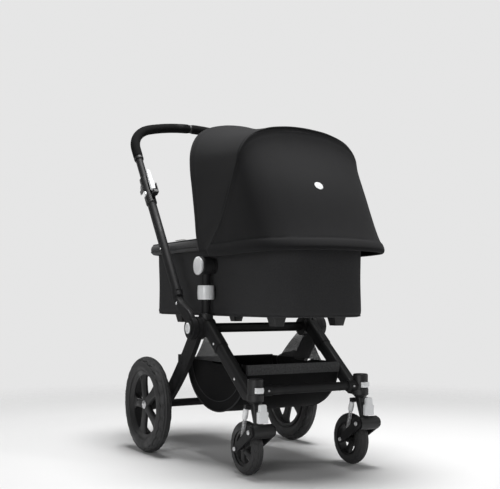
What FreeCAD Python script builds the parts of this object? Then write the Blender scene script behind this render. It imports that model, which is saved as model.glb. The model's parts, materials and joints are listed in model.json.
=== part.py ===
"""Baby stroller with a carrycot: sprung casters, folding rear frame, telescopic turn-over handle.

Millimetres, +Z up.  X runs across the stroller and X = 0 is its plane of symmetry.  The front
faces -Y, the handle is at +Y and the wheels stand on Z = 0.  "right" is the -X side.
Distances called back or ahead are measured along Y from the hub axis, on which the rear
frame and the handle turn.
"""
import FreeCAD, Part
import math
import os
import re
import Sketcher
from FreeCAD import Placement, Rotation, Vector

os.makedirs("parts", exist_ok=True)
doc = FreeCAD.newDocument("Stroller")

# ---------------------------------------------------------------- driving dimensions
DIMENSIONS = {
    "hub_y": -29, "hub_height": 395, "pin_radius": 6, "fit_gap": 0.05, "hub_radius": 34,
    "leg_boss_in": 200, "leg_boss_out": 214, "leg_rivet": 0.9, "arm_boss_in": 216,
    "arm_boss_out": 232,
    "rear_wheel_radius": 150, "rear_tyre_radius": 24, "rear_track_half": 264,
    "rear_rim_radius": 109, "rear_rim_half": 16, "rear_axle_back": 234,
    "axle_radius": 8, "axle_tube_radius": 12,
    "front_wheel_radius": 74, "front_tyre_radius": 17, "front_rim_radius": 49,
    "front_rim_half": 12, "front_axle_radius": 4,
    "caster_half": 174.6, "caster_ahead": 289, "caster_trail": 46,
    "housing_radius": 23, "housing_low": 205, "housing_top": 266,
    "stem_radius": 8, "swing_ahead": 32, "swing_height": 128, "swing_drum_radius": 19,
    "swing_drum_half": 31, "swing_plate": 6,
    "front_bar_radius": 12.5, "front_bar_height": 233, "collar_radius": 15.5,
    "collar_length": 26, "leg_width": 32, "leg_depth": 38, "sleeve_wall": 2,
    "riser_half": 177, "riser_radius": 14, "riser_wall": 2, "socket_radius": 21.5,
    "socket_top": 439, "socket_low": 372, "adapter_height": 579, "adapter_radius": 27.5,
    "adapter_in": 163, "adapter_out": 197, "button_radius": 25,
    "ring_radius": 25.5, "ring_height": 42, "ring_centre": 500,
    "arm_half": 230, "arm_lean": 34, "arm_offset": 13, "arm_radius": 14.5,
    "upper_radius": 12, "arm_start": 120, "arm_end": 500, "clamp_low": 478,
    "clamp_top": 584, "clamp_radius": 17.5, "lever_up": 72, "lever_pin": 1.8,
    "upper_low": 372, "handle_reach": 834,
    "handle_corner": 100, "handle_crown": 550, "grip_start": 676, "grip_radius": 16,
    "grip_gap": 7, "cot_half": 150.5, "cot_round": 11, "cot_back": 484, "cot_ahead": 393,
    "cot_corner": 100, "cot_low": 430, "cot_top": 629, "cot_wall": 5, "rim_height": 34,
    "rim_overhang": 26, "rim_head": 8, "mattress_height": 30, "apron_height": 9,
    "pivot_height": 612, "pivot_back": -12, "hoop_wire": 3.5, "hoop_tail": 62,
    "clamp_thick": 6, "cloth": 2.5, "canopy_gap": 11,
    "basket_half": 155, "basket_reach": 190, "basket_depth": 148, "basket_top": 297,
    "basket_ahead": 20,
}
sheet = doc.addObject("Spreadsheet::Sheet", "Sheet")
for row, (alias, number) in enumerate(DIMENSIONS.items(), start=1):
    sheet.set(f"A{row}", alias)
    sheet.set(f"B{row}", str(number))
    sheet.setAlias(f"B{row}", alias)
doc.recompute()

# Rows of the canopy's edges on the left half, from the foot to the crest:
# (across from the plane of symmetry, back from the hub axis, height above the ground).
ARCH = ((196, -50, 622), (199, -101, 668), (200, -144, 712), (201, -196, 790), (198, -228, 852),
        (188, -236, 896), (158, -235, 932), (104, -229, 955), (50, -223, 965), (0, -221, 968))
MOUTH = ((188, 20, 622), (184, 46, 668), (182, 61, 730), (181, 80, 810), (180, 97, 878),
         (173, 108, 934), (150, 116, 980), (110, 119, 1009), (55, 120, 1024), (0, 119, 1028))
HEM = ((198, -56, 612), (200, -120, 610), (202, -190, 610), (202, -260, 611), (198, -328, 612),
       (184, -384, 613), (149, -422, 614), (102, -442, 615), (50, -450, 616), (0, -452, 616))
SLEEVE_END = 62

SIDES = (("right", -1), ("left", 1))
ALONG_X = Vector(1, 0, 0)
ALONG_Y = Vector(0, 1, 0)
UP = Vector(0, 0, 1)
WORDS = re.compile(r"\b(" + "|".join(DIMENSIONS) + r")\b")
subparts = []


def bound(text):
    """An expression in the sheet's aliases, as FreeCAD's expression engine wants it."""
    return WORDS.sub(r"Sheet.\1", str(text))


def size(text):
    """The number that an expression in the sheet's aliases stands for."""
    answer = sheet.evalExpression(bound(text))
    return float(getattr(answer, "Value", answer))


def bind(thing, **expressions):
    """Bind properties to the sheet; a double underscore stands for a dot in the path."""
    for path, text in expressions.items():
        thing.setExpression(path.replace("__", "."), bound(text))
    return thing


# ---------------------------------------------------------------- ways of making a sub-part
def keep(thing, label):
    """Name an object as a sub-part that is written out."""
    thing.Label = label
    subparts.append(thing)
    return thing


def from_shape(label, shape):
    """A sub-part whose solid is worked out in code from the sheet's values."""
    feature = doc.addObject("Part::Feature", label)
    feature.Shape = shape
    return keep(feature, label)


def primitive(kind, name, place, turn=None, **expressions):
    """A Part primitive with its sizes and its place bound to the sheet."""
    thing = doc.addObject("Part::" + kind, name)
    if turn:
        thing.Placement = Placement(Vector(), turn)
    bind(thing, **expressions)
    bind(thing, **{f"Placement__Base__{axis}": text for axis, text in zip("xyz", place)})
    return thing


def joined(label, pieces, cuts=()):
    """Fuse primitives, then take others away."""
    if len(pieces) > 1:
        whole = doc.addObject("Part::MultiFuse", label + "_whole")
        whole.Shapes = pieces
    else:
        whole = pieces[0]
    if cuts:
        tool = cuts[0]
        if len(cuts) > 1:
            tool = doc.addObject("Part::MultiFuse", label + "_tools")
            tool.Shapes = list(cuts)
        result = doc.addObject("Part::Cut", label + "_cut")
        result.Base = whole
        result.Tool = tool
        whole = result
    return keep(whole, label)


def rod(name, start, finish, radius, height="hub_height", back="0"):
    """A cylinder along X between two distances from the plane of symmetry."""
    return primitive("Cylinder", name, (start, f"hub_y + ({back})", height),
                     Rotation(UP, ALONG_X), Radius=radius, Height=f"({finish}) - ({start})")


def plane_of(body, role):
    """One of the body's own origin planes."""
    return next(item for item in body.Origin.OriginFeatures if item.Role == role)


def outline(body, name, role, points):
    """A closed sketch of straight lines, with both coordinates of each corner bound."""
    sketch = body.newObject("Sketcher::SketchObject", name)
    sketch.AttachmentSupport = (plane_of(body, role), [""])
    sketch.MapMode = "FlatFace"
    corners = [Vector(size(x), size(y), 0) for x, y in points]
    for index, corner in enumerate(corners):
        sketch.addGeometry(Part.LineSegment(corner, corners[(index + 1) % len(corners)]))
    for index in range(len(corners)):
        follower = (index + 1) % len(corners)
        sketch.addConstraint(Sketcher.Constraint("Coincident", index, 2, follower, 1))
    for index, (x, y) in enumerate(points):
        for kind, text in (("DistanceX", x), ("DistanceY", y)):
            rule = Sketcher.Constraint(kind, -1, 1, index, 1, size(text))
            number = sketch.addConstraint(rule)
            sketch.setExpression(f"Constraints[{number}]", bound(text))
    return sketch


def turned(label, points):
    """A body turned about its own X axis from corners given as (along, radius)."""
    body = doc.addObject("PartDesign::Body", label)
    turning = body.newObject("PartDesign::Revolution", label + "_turning")
    turning.Profile = outline(body, label + "_outline", "XY_Plane", points)
    turning.ReferenceAxis = (turning.Profile[0], ["H_Axis"])
    turning.Angle = 360
    return body


def put(body, label, place, turn):
    """Give a body its orientation, then bind its place to the sheet and keep it."""
    body.Placement = Placement(Vector(), turn)
    bind(body, **{f"Placement__Base__{axis}": text for axis, text in zip("xyz", place)})
    return keep(body, label)


def facing(side):
    """The turn that points a body's own X axis away from the plane of symmetry."""
    return Rotation(UP, 0 if side > 0 else 180)


def along(path, profile_radii):
    """Sweep a disc, or a ring where a second radius is given, along a smooth path."""
    start = path.Edges[0]
    origin = start.valueAt(start.FirstParameter)
    heading = start.tangentAt(start.FirstParameter)
    circles = [Part.Wire(Part.makeCircle(radius, origin, heading)) for radius in profile_radii]
    tubes = [path.makePipeShell([circle], True, False) for circle in circles]
    return tubes[0].cut(tubes[1]) if len(tubes) > 1 else tubes[0]


def rounded_wire(half_x, low_y, high_y, corner, height):
    """A rounded rectangle, flat at one height, from eight edges."""
    edges = []
    corners = ((half_x, high_y, 0), (-half_x, high_y, 90), (-half_x, low_y, 180),
               (half_x, low_y, 270))
    arcs = []
    for x, y, begin in corners:
        centre = Vector(x - math.copysign(corner, x), y - (corner if y == high_y else -corner),
                        height)
        spots = [centre + Vector(math.cos(math.radians(begin + step)),
                                 math.sin(math.radians(begin + step)), 0) * corner
                 for step in (0, 45, 90)]
        arcs.append(spots)
    for index, spots in enumerate(arcs):
        edges.append(Part.Arc(*spots).toShape())
        edges.append(Part.LineSegment(spots[2], arcs[(index + 1) % 4][0]).toShape())
    return Part.Wire(edges)


def section_at(centre, normal, across, half_across, half_other, corner):
    """A rounded rectangle square to a direction, for lofting and extruding."""
    flat = rounded_wire(half_across, -half_other, half_other, corner, 0)
    other = normal.cross(across)
    matrix = FreeCAD.Matrix(across.x, other.x, normal.x, centre.x,
                            across.y, other.y, normal.y, centre.y,
                            across.z, other.z, normal.z, centre.z, 0, 0, 0, 1)
    return flat.transformGeometry(matrix)


def mirrored(shape, side):
    """The shape as drawn for the left side, or its mirror image for the right."""
    return shape if side > 0 else shape.mirror(Vector(), ALONG_X)


def hub_point(x, back, height):
    """A point given by its distance across, behind the hub axis, and above the ground."""
    return Vector(x, size("hub_y") + back, height)


def both_sides(shapes):
    """A group of the left side's solids and their mirror images."""
    return Part.makeCompound([mirrored(shape, side) for _, side in SIDES for shape in shapes])


def fused(shapes):
    """One solid from several that touch or overlap."""
    return shapes[0].multiFuse(shapes[1:]).removeSplitter()


def cylinder(start, finish, radius):
    """A cylinder between two points."""
    way = finish - start
    return Part.makeCylinder(radius, way.Length, start, way)


# ---------------------------------------------------------------- chassis
def cross_bar():
    """Six-sided tube on the hub axis, between the two hub housings."""
    bar = primitive("Prism", "cross_bar_outside", ("-adapter_in + 8", "hub_y", "hub_height"),
                    Rotation(UP, ALONG_X), Circumradius="14", Height="2 * adapter_in - 16")
    bore = rod("cross_bar_bore", "-adapter_in + 7", "adapter_in - 7", "10.5")
    joined("cross_bar", [bar], [bore])


def hub_housings():
    """Each housing takes the riser tube from above and the hub pin from the side."""
    inner, outer = size("adapter_in") - 8, size("leg_boss_in") - 0.5
    drum = cylinder(hub_point(inner, 0, size("hub_height")),
                    hub_point(outer, 0, size("hub_height")), size("hub_radius") - 6)
    flange = cylinder(hub_point(outer - 9, 0, size("hub_height")),
                      hub_point(outer, 0, size("hub_height")), size("hub_radius"))
    socket = cylinder(hub_point(size("riser_half"), 0, size("socket_low")),
                      hub_point(size("riser_half"), 0, size("socket_top")),
                      size("socket_radius"))
    socket = socket.makeChamfer(2.5, [edge for edge in socket.Edges
                                      if edge.BoundBox.ZMin > size("socket_top") - 1])
    pin = cylinder(hub_point(inner + 5, 0, size("hub_height")),
                   hub_point(outer + 1, 0, size("hub_height")), size("pin_radius"))
    riser = cylinder(hub_point(size("riser_half"), 0, size("socket_top") - 24),
                     hub_point(size("riser_half"), 0, size("socket_top") + 1),
                     size("riser_radius"))
    solid = fused([drum, flange, socket]).cut(pin).cut(riser)
    solid = solid.cut(leg_block(-40, SLEEVE_END, size("sleeve_wall")))
    from_shape("hub_housings", both_sides([solid]))


def leg_axis():
    """The two ends of the left front leg's centre line, and its direction."""
    top = hub_point(size("riser_half") + 1, -52, 376)
    foot = hub_point(size("caster_half") + 0.5, -250, 222)
    return top, foot, (foot - top).normalize()


def leg_block(start, finish, grow):
    """A length of the left front leg's section, from one distance down it to another."""
    top, _, way = leg_axis()
    half_wide = size("leg_width") / 2 + grow
    half_deep = size("leg_depth") / 2 + grow
    across = (ALONG_X - way * way.dot(ALONG_X)).normalize()
    wire = section_at(top + way * start, way, across, half_wide, half_deep, 11 + grow)
    return Part.Face(wire).extrude(way * (finish - start))


def front_legs():
    """Oval tubes from the hub housings down to the caster housings, with their sleeves."""
    top, foot, _ = leg_axis()
    barrel = Part.makeCylinder(size("housing_radius"), 400,
                               hub_point(size("caster_half"), -size("caster_ahead"), 0), UP)
    below = Part.makeBox(600, 1000, size("housing_low + 1.5"), Vector(-300, -500, 0))
    leg = leg_block(-30, (foot - top).Length + 30, 0).cut(barrel).cut(below)
    leg = max(leg.Solids, key=lambda solid: solid.Volume)
    for name, side in SIDES:
        from_shape(f"{name}_front_leg", mirrored(leg, side))
    sleeve = leg_block(-40, SLEEVE_END, size("sleeve_wall")).cut(leg_block(-30, 80, 0))
    from_shape("leg_sleeves", both_sides([sleeve]))


def frame_pins():
    """The hub pins, pressed into their housings, and two domed rivets in each front leg."""
    top, _, way = leg_axis()
    across = (ALONG_X - way * way.dot(ALONG_X)).normalize()
    pins = [cylinder(hub_point(size("adapter_in") - 3, 0, size("hub_height")),
                     hub_point(size("arm_boss_out") - 4, 0, size("hub_height")),
                     size("pin_radius"))]
    for distance, grow in ((40, size("sleeve_wall")), (190, 0)):
        seat = top + way * distance + across * (size("leg_width") / 2 + grow)
        pins.append(Part.makeCone(4, 2.6, 1.6, seat, across))
    from_shape("frame_pins", both_sides(pins))


def caster_housings():
    """Upright barrels at the feet of the front legs, bored for the caster stems."""
    height = size("housing_top - housing_low")
    foot = hub_point(size("caster_half"), -size("caster_ahead"), size("housing_low"))
    wide, slim = size("housing_radius"), size("housing_radius") - 1.5
    ring = Part.makeCylinder(wide, 19, foot, UP)
    ring = ring.makeChamfer(1.4, [edge for edge in ring.Edges if edge.BoundBox.ZLength < 0.1])
    barrel = Part.makeCylinder(slim, height - 1, foot + UP, UP)
    barrel = barrel.makeFillet(4, [edge for edge in barrel.Edges
                                   if edge.BoundBox.ZMin > foot.z + height - 1])
    bore = Part.makeCylinder(size("stem_radius + fit_gap"), height - 4, foot, UP)
    from_shape("caster_housings", both_sides([fused([ring, barrel]).cut(bore)]))


def front_bar():
    """Round bar between the caster housings, with a swollen collar at each end."""
    end = size("caster_half")
    line = [hub_point(x, -size("caster_ahead"), size("front_bar_height")) for x in (-end, end)]
    pieces = [cylinder(line[0], line[1], size("front_bar_radius"))]
    for side in (-1, 1):
        inner = end - size("housing_radius") - size("collar_length")
        start = hub_point(side * end, -size("caster_ahead"), size("front_bar_height"))
        finish = hub_point(side * inner, -size("caster_ahead"), size("front_bar_height"))
        pieces.append(cylinder(start, finish, size("collar_radius")))
    solid = fused(pieces)
    for side in (-1, 1):
        foot = hub_point(side * end, -size("caster_ahead"), 0)
        solid = solid.cut(Part.makeCylinder(size("housing_radius"), 400, foot, UP))
    solid = max(solid.Solids, key=lambda piece: piece.Volume)
    from_shape("front_bar", solid)


def risers():
    """Upright tubes from the hub housings to the seat adapters."""
    tubes = []
    for _, side in SIDES:
        foot = hub_point(side * size("riser_half"), 0, size("socket_top") - 24)
        rise = size("adapter_height") - foot.z
        outside = Part.makeCylinder(size("riser_radius"), rise, foot, UP)
        bore = Part.makeCylinder(size("riser_radius - riser_wall"), rise, foot, UP)
        saddle = cylinder(hub_point(0, 0, size("adapter_height")),
                          hub_point(side * 300, 0, size("adapter_height")),
                          size("adapter_radius"))
        tubes.append(outside.cut(bore).cut(saddle))
    from_shape("riser_tubes", Part.makeCompound(tubes))


def seat_adapters():
    """Round heads on the risers that the carrycot's sides drop between."""
    inner, outer = size("adapter_in"), size("adapter_out")
    start = hub_point(inner, 0, size("adapter_height"))
    head = Part.makeCylinder(size("adapter_radius"), outer - inner, start, ALONG_X)
    head = head.makeFillet(2.5, [edge for edge in head.Edges if edge.BoundBox.XLength < 0.1])
    recess = Part.makeCylinder(size("button_radius - 1"), 20, start + ALONG_X * (outer - inner - 8),
                               ALONG_X)
    from_shape("seat_adapters", both_sides([head.cut(recess)]))


def adapter_buttons():
    """White release buttons in the outer ends of the seat adapters."""
    for name, side in SIDES:
        label = f"{name}_adapter_button"
        body = turned(label, [("adapter_out - 3.5", "0"),
                              ("adapter_out - 3.5", "button_radius - 1 - fit_gap"),
                              ("adapter_out + 4", "button_radius - 1 - fit_gap"),
                              ("adapter_out + 4", "button_radius + 1"),
                              ("adapter_out + 5.5", "button_radius + 2.5"),
                              ("adapter_out + 9", "button_radius + 1.5"),
                              ("adapter_out + 11", "button_radius - 4"),
                              ("adapter_out + 12", "0")])
        put(body, label, ("0", "hub_y", "adapter_height"), facing(side))


def release_rings():
    """White sliding rings on the risers that free the folding catches."""
    for name, side in SIDES:
        label = f"{name}_release_ring"
        body = turned(label, [("0", "riser_radius + fit_gap"), ("0", "ring_radius - 2"),
                              ("3", "ring_radius - 0.7"), ("ring_height / 2", "ring_radius"),
                              ("ring_height - 3", "ring_radius - 0.7"),
                              ("ring_height", "ring_radius - 2"),
                              ("ring_height", "riser_radius + fit_gap")])
        place = (f"{side} * riser_half", "hub_y", "ring_centre - ring_height / 2")
        put(body, label, place, Rotation(ALONG_X, UP))


def swivel_locks():
    """White tabs on the fronts of the caster housings that stop the casters turning."""
    for name, side in SIDES:
        label = f"{name}_swivel_lock"
        plate = primitive("Box", label + "_plate",
                          (f"{side} * caster_half - 13", "hub_y - caster_ahead - housing_radius - 6",
                           "front_bar_height - 6"), Length="26", Width="16", Height="17")
        barrel = primitive("Cylinder", label + "_barrel",
                           (f"{side} * caster_half", "hub_y - caster_ahead", "0"),
                           Radius="housing_radius + 0.2", Height="400")
        joined(label, [plate], [barrel])


# ---------------------------------------------------------------- rear frame and wheels
def rear_axle():
    """Tube between the rear legs, with a turned stub at each end for the wheel."""
    tube = rod("rear_axle_tube", "-leg_boss_in", "leg_boss_in", "axle_tube_radius",
               "rear_wheel_radius", "rear_axle_back")
    stubs = rod("rear_axle_stubs", "-rear_track_half - 6", "rear_track_half + 6", "axle_radius",
                "rear_wheel_radius", "rear_axle_back")
    joined("rear_axle", [tube, stubs])


def rear_leg_outline():
    """Curved plate from the hub boss down and back to the axle boss, in the YZ plane."""
    hub = hub_point(size("leg_boss_in"), 0, size("hub_height"))
    axle = hub_point(size("leg_boss_in"), size("rear_axle_back"), size("rear_wheel_radius"))
    front = Part.Arc(hub + Vector(0, -22, -25), hub + Vector(0, 66, -130),
                     axle + Vector(0, -14, -14)).toShape()
    back = Part.Arc(axle + Vector(0, 8, 19), hub + Vector(0, 108, -98),
                    hub + Vector(0, 30, -8)).toShape()
    ends = [(front, back), (back, front)]
    closing = [Part.LineSegment(one.valueAt(one.LastParameter),
                                other.valueAt(other.FirstParameter)).toShape()
               for one, other in ends]
    return Part.Wire([front, closing[0], back, closing[1]]), hub, axle


def rear_legs():
    """Boomerang legs, bored for the hub pin and the axle, with rivet heads and a stop bracket."""
    thick = size("leg_boss_out - leg_boss_in")
    wire, hub, axle = rear_leg_outline()
    plate = Part.Face(wire).extrude(ALONG_X * thick)
    hub_boss = Part.makeCylinder(size("hub_radius"), thick, hub, ALONG_X)
    reach = size("rear_track_half") - 31 - size("leg_boss_in")
    axle_boss = Part.makeCylinder(21, thick, axle, ALONG_X)
    spacer = Part.makeCylinder(13, reach, axle, ALONG_X)
    bracket = Part.makeBox(thick - 2, 16, 34, hub + Vector(1, 101, -117))
    heads = [Part.makeCone(4, 3, size("leg_rivet"), hub + Vector(thick, back, down), ALONG_X)
             for back, down in ((40, -42), (62, -72), (92, -110))]
    solid = fused([plate, hub_boss, axle_boss, spacer, bracket] + heads)
    solid = solid.cut(Part.makeCylinder(size("pin_radius + fit_gap"), 60, hub - ALONG_X * 9, ALONG_X))
    solid = solid.cut(Part.makeCylinder(size("axle_radius"), 90, axle - ALONG_X * 9, ALONG_X))
    for name, side in SIDES:
        from_shape(f"{name}_rear_leg", mirrored(solid, side))


def wheel_rim(label, seat, half, hub_length, bore, spokes, hub_out):
    """Dished star rim: a turned disc with windows cut between its spokes."""
    body = turned(label, [(f"-{hub_length}", bore), (f"-{hub_length}", f"{bore} + 9"),
                          ("-6", f"{bore} + 12"), ("-5", f"{seat} * 0.72"),
                          (f"-{half} + 3", f"{seat} - 9"), (f"-{half}", f"{seat} - 5"),
                          (f"-{half}", seat), (half, seat), (half, f"{seat} - 5"),
                          (f"{half} - 3", f"{seat} - 9"), ("5", f"{seat} * 0.74"),
                          ("3", f"{bore} + 12"), (hub_out, f"{bore} + 8"), (hub_out, bore)])
    window = body.newObject("PartDesign::Pocket", label + "_window")
    reach_in, reach_out = f"{seat} * 0.40", f"{seat} * 0.82"
    narrow = f"{seat} * 0.40 * tan({150 / spokes} deg)"
    wide = f"{seat} * 0.82 * tan({148 / spokes} deg)"
    middle = f"{seat} * 0.90"
    window.Profile = outline(body, label + "_window_outline", "YZ_Plane",
                             [(reach_in, f"-({narrow})"), (reach_out, f"-({wide})"),
                              (middle, f"-({wide}) * 0.55"), (middle, f"({wide}) * 0.55"),
                              (reach_out, wide), (reach_in, narrow)])
    window.Type = "ThroughAll"
    window.Midplane = True
    ring = body.newObject("PartDesign::PolarPattern", label + "_windows")
    ring.Originals = [window]
    ring.Axis = (next(item for item in body.Origin.OriginFeatures if item.Role == "X_Axis"), [""])
    ring.Angle = 360
    ring.Occurrences = spokes
    body.Tip = ring
    return body


def tyre(label, place, radius, section, seat):
    """Round-section tyre, cut to the seat of its rim."""
    ring = primitive("Torus", label + "_ring", place, Rotation(UP, ALONG_X),
                     Radius1=f"{radius} - {section}", Radius2=section)
    band = primitive("Cylinder", label + "_seat", (f"({place[0]}) - 40", place[1], place[2]),
                     Rotation(UP, ALONG_X), Radius=seat, Height="80")
    joined(label, [ring], [band])


def rear_wheels():
    """Two large wheels with five-spoke rims and a small bright cap."""
    for name, side in SIDES:
        place = (f"{side} * rear_track_half", "hub_y + rear_axle_back", "rear_wheel_radius")
        tyre(f"{name}_rear_tyre", place, "rear_wheel_radius", "rear_tyre_radius",
             "rear_rim_radius")
        label = f"{name}_rear_rim"
        body = wheel_rim(label, "rear_rim_radius", "rear_rim_half", "30",
                         "(axle_radius + fit_gap)", 5, "9")
        put(body, label, place, facing(side))
        label = f"{name}_rear_cap"
        cap = turned(label, [("9", "0"), ("9", "15"), ("13", "14"), ("16", "9"), ("17", "0")])
        put(cap, label, place, facing(side))


# ---------------------------------------------------------------- casters
def caster_places(side):
    """Swivel axis, swing pivot and front axle of one caster, in the middle of its wheel."""
    across = side * size("caster_half")
    swivel = hub_point(across, -size("caster_ahead"), 0)
    pivot = swivel + Vector(0, -size("swing_ahead"), size("swing_height"))
    axle = swivel + Vector(0, size("caster_trail"), size("front_wheel_radius"))
    return swivel, pivot, axle


def caster_forks():
    """Stem, crown, sloping neck and the drum that the swing arm turns on."""
    for name, side in SIDES:
        swivel, pivot, _ = caster_places(side)
        low = size("housing_low")
        stem = Part.makeCylinder(size("stem_radius"), size("housing_top") - 12 - low + 5,
                                 swivel + UP * (low - 5), UP)
        crown = Part.makeCone(14, 20, 8, swivel + UP * (low - 8.5), UP)
        half = size("swing_drum_half")
        drum = Part.makeCylinder(size("swing_drum_radius"), 2 * half, pivot - ALONG_X * half,
                                 ALONG_X)
        upper = section_at(swivel + UP * (low - 6), UP, ALONG_X, 13, 12, 6)
        lower = section_at(pivot + Vector(0, 11, 4), UP, ALONG_X, 12, 8, 5)
        neck = Part.makeLoft([lower, upper], True, True)
        guide = Part.makeBox(16, 20, 34, swivel + Vector(-8, -31.8, size("swing_height") + 22))
        lug = Part.makeBox(56, 12, 12, swivel + Vector(-28, 2, low - 20))
        lug_web = Part.makeBox(16, 14, 14, swivel + Vector(-8, 0, low - 20))
        bore = Part.makeCylinder(size("front_axle_radius + fit_gap"), 200,
                                 pivot - ALONG_X * 100, ALONG_X)
        solid = fused([stem, crown, drum, neck, guide, lug, lug_web]).cut(bore)
        from_shape(f"{name}_caster_fork", solid)


def swing_arms():
    """Two plates joined by the pivot pin and the front axle, which they carry riveted."""
    for name, side in SIDES:
        _, pivot, axle = caster_places(side)
        inner = size("swing_drum_half") + 0.4
        thick = size("swing_plate")
        way = (axle - pivot).normalize()
        square = way.cross(ALONG_X)
        pieces = []
        for hand in (-1, 1):
            base = ALONG_X * (hand * inner)
            push = ALONG_X * (hand * thick)
            corners = [pivot + square * 15, axle + square * 10, axle - square * 10,
                       pivot - square * 15]
            plate = Part.Face(Part.makePolygon([spot + base for spot in corners + corners[:1]]))
            pieces.append(plate.extrude(push))
            pieces.append(Part.makeCylinder(15, thick, pivot + base, push))
            pieces.append(Part.makeCylinder(10, thick, axle + base, push))
            for spot, radius in ((pivot, 7), (axle, 6.5)):
                pieces.append(Part.makeCone(radius, radius - 2, 3, spot + base + push, push))
        full = 2 * (inner + thick)
        for spot in (pivot, axle):
            pieces.append(Part.makeCylinder(size("front_axle_radius"), full,
                                            spot - ALONG_X * (full / 2), ALONG_X))
        from_shape(f"{name}_swing_arm", fused(pieces))


def spring_line(side, hand):
    """Top and bottom of one suspension spring beside the wheel."""
    swivel, _, axle = caster_places(side)
    across = ALONG_X * (hand * 24)
    top = swivel + across + Vector(0, 8, size("housing_low") - 21)
    foot = axle + across + Vector(0, -17, 31)
    return top, foot


def caster_springs():
    """A coil spring each side of the wheel, between the fork lug and the swing arm."""
    coil, wire, pitch = 4.6, 1.3, 5.2
    for name, side in SIDES:
        coils = []
        for hand in (-1, 1):
            top, foot = spring_line(side, hand)
            way = foot - top
            helix = Part.makeHelix(pitch, way.Length - 2 * wire, coil)
            circle = Part.Wire(Part.makeCircle(wire, Vector(coil, 0, 0), ALONG_Y))
            solid = Part.Wire(helix.Edges).makePipeShell([circle], True, True)
            start = top + way.normalize() * wire
            solid.Placement = Placement(start, Rotation(UP, foot - top))
            coils.append(solid)
        from_shape(f"{name}_caster_springs", Part.makeCompound(coils))


def wheel_catches():
    """White push buttons over the swing drums that let the front wheels come off."""
    for name, side in SIDES:
        label = f"{name}_wheel_catch"
        place = (f"{side} * caster_half", "hub_y - caster_ahead - swing_ahead - 13",
                 "swing_height + 22.5")
        lower = primitive("Box", label + "_lower", (place[0] + " - 16", place[1], place[2]),
                          Length="32", Width="13", Height="30")
        upper = primitive("Box", label + "_upper",
                          (place[0] + " - 11", place[1], place[2] + " + 30"),
                          Length="22", Width="13", Height="20")
        joined(label, [lower, upper])


def front_wheels():
    """Small caster wheels with five-spoke rims."""
    for name, side in SIDES:
        place = (f"{side} * caster_half", "hub_y - caster_ahead + caster_trail",
                 "front_wheel_radius")
        tyre(f"{name}_front_tyre", place, "front_wheel_radius", "front_tyre_radius",
             "front_rim_radius")
        label = f"{name}_front_rim"
        body = wheel_rim(label, "front_rim_radius", "front_rim_half", "16",
                         "(front_axle_radius + fit_gap)", 5, "16")
        put(body, label, place, facing(side))


# ---------------------------------------------------------------- handle
def arm_point(across, reach, ahead=0):
    """A point in the handle's own plane: distance up the arm, and square to it forwards."""
    lean = math.radians(size("arm_lean"))
    way = Vector(0, math.sin(lean), math.cos(lean))
    forward = Vector(0, -math.cos(lean), math.sin(lean))
    foot = hub_point(0, 0, size("hub_height")) - forward * size("arm_offset")
    return foot + way * reach + forward * ahead + ALONG_X * across


def arm_way():
    """Unit vector up the arm."""
    return arm_point(0, 1) - arm_point(0, 0)


def handle_arms():
    """Lower arms: a boss on the hub pin, a swept root and a straight tube."""
    half = size("arm_half")
    inner, outer = size("arm_boss_in"), size("arm_boss_out")
    hub = hub_point(inner, 0, size("hub_height"))
    boss = Part.makeCylinder(size("hub_radius") - 1, outer - inner, hub, ALONG_X)
    collar = Part.makeCylinder(24, 5, hub + ALONG_X * (outer - inner), ALONG_X)
    way = arm_way()
    middle = (inner + outer) / 2
    root = Part.makeLoft([
        section_at(hub_point(middle, 4, size("hub_height") + 2), UP, ALONG_X, 8.4, 26, 6),
        section_at(hub_point(middle + 1, 16, size("hub_height") + 34), way, ALONG_X, 10, 21, 7),
        section_at(arm_point(half - 2, 84, 1), way, ALONG_X, 13, 16, 9),
        section_at(arm_point(half, size("arm_start") + 18), way, ALONG_X, 16, 16, 13)], True)
    tube = cylinder(arm_point(half, size("arm_start")), arm_point(half, size("arm_end")),
                    size("arm_radius"))
    bore = cylinder(arm_point(half, size("upper_low") - 130), arm_point(half, size("arm_end") + 1),
                    size("upper_radius + fit_gap"))
    recess = Part.makeCylinder(16 + size("fit_gap"), 30, hub + ALONG_X * (outer - inner - 2.5),
                               ALONG_X)
    pin = Part.makeCylinder(size("pin_radius + fit_gap"), 60, hub - ALONG_X * 5, ALONG_X)
    solid = fused([boss, collar, root, tube]).cut(bore).cut(pin).cut(recess)
    for name, side in SIDES:
        from_shape(f"{name}_handle_arm", mirrored(solid, side))


def hub_buttons():
    """White buttons in the middle of the arm bosses that free the handle to turn over."""
    for name, side in SIDES:
        label = f"{name}_hub_button"
        body = turned(label, [("arm_boss_out + 1.5", "0"), ("arm_boss_out + 1.5", "16"),
                              ("arm_boss_out + 6", "16"), ("arm_boss_out + 8", "12"),
                              ("arm_boss_out + 8.5", "0")])
        put(body, label, ("0", "hub_y", "hub_height"), facing(side))


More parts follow.
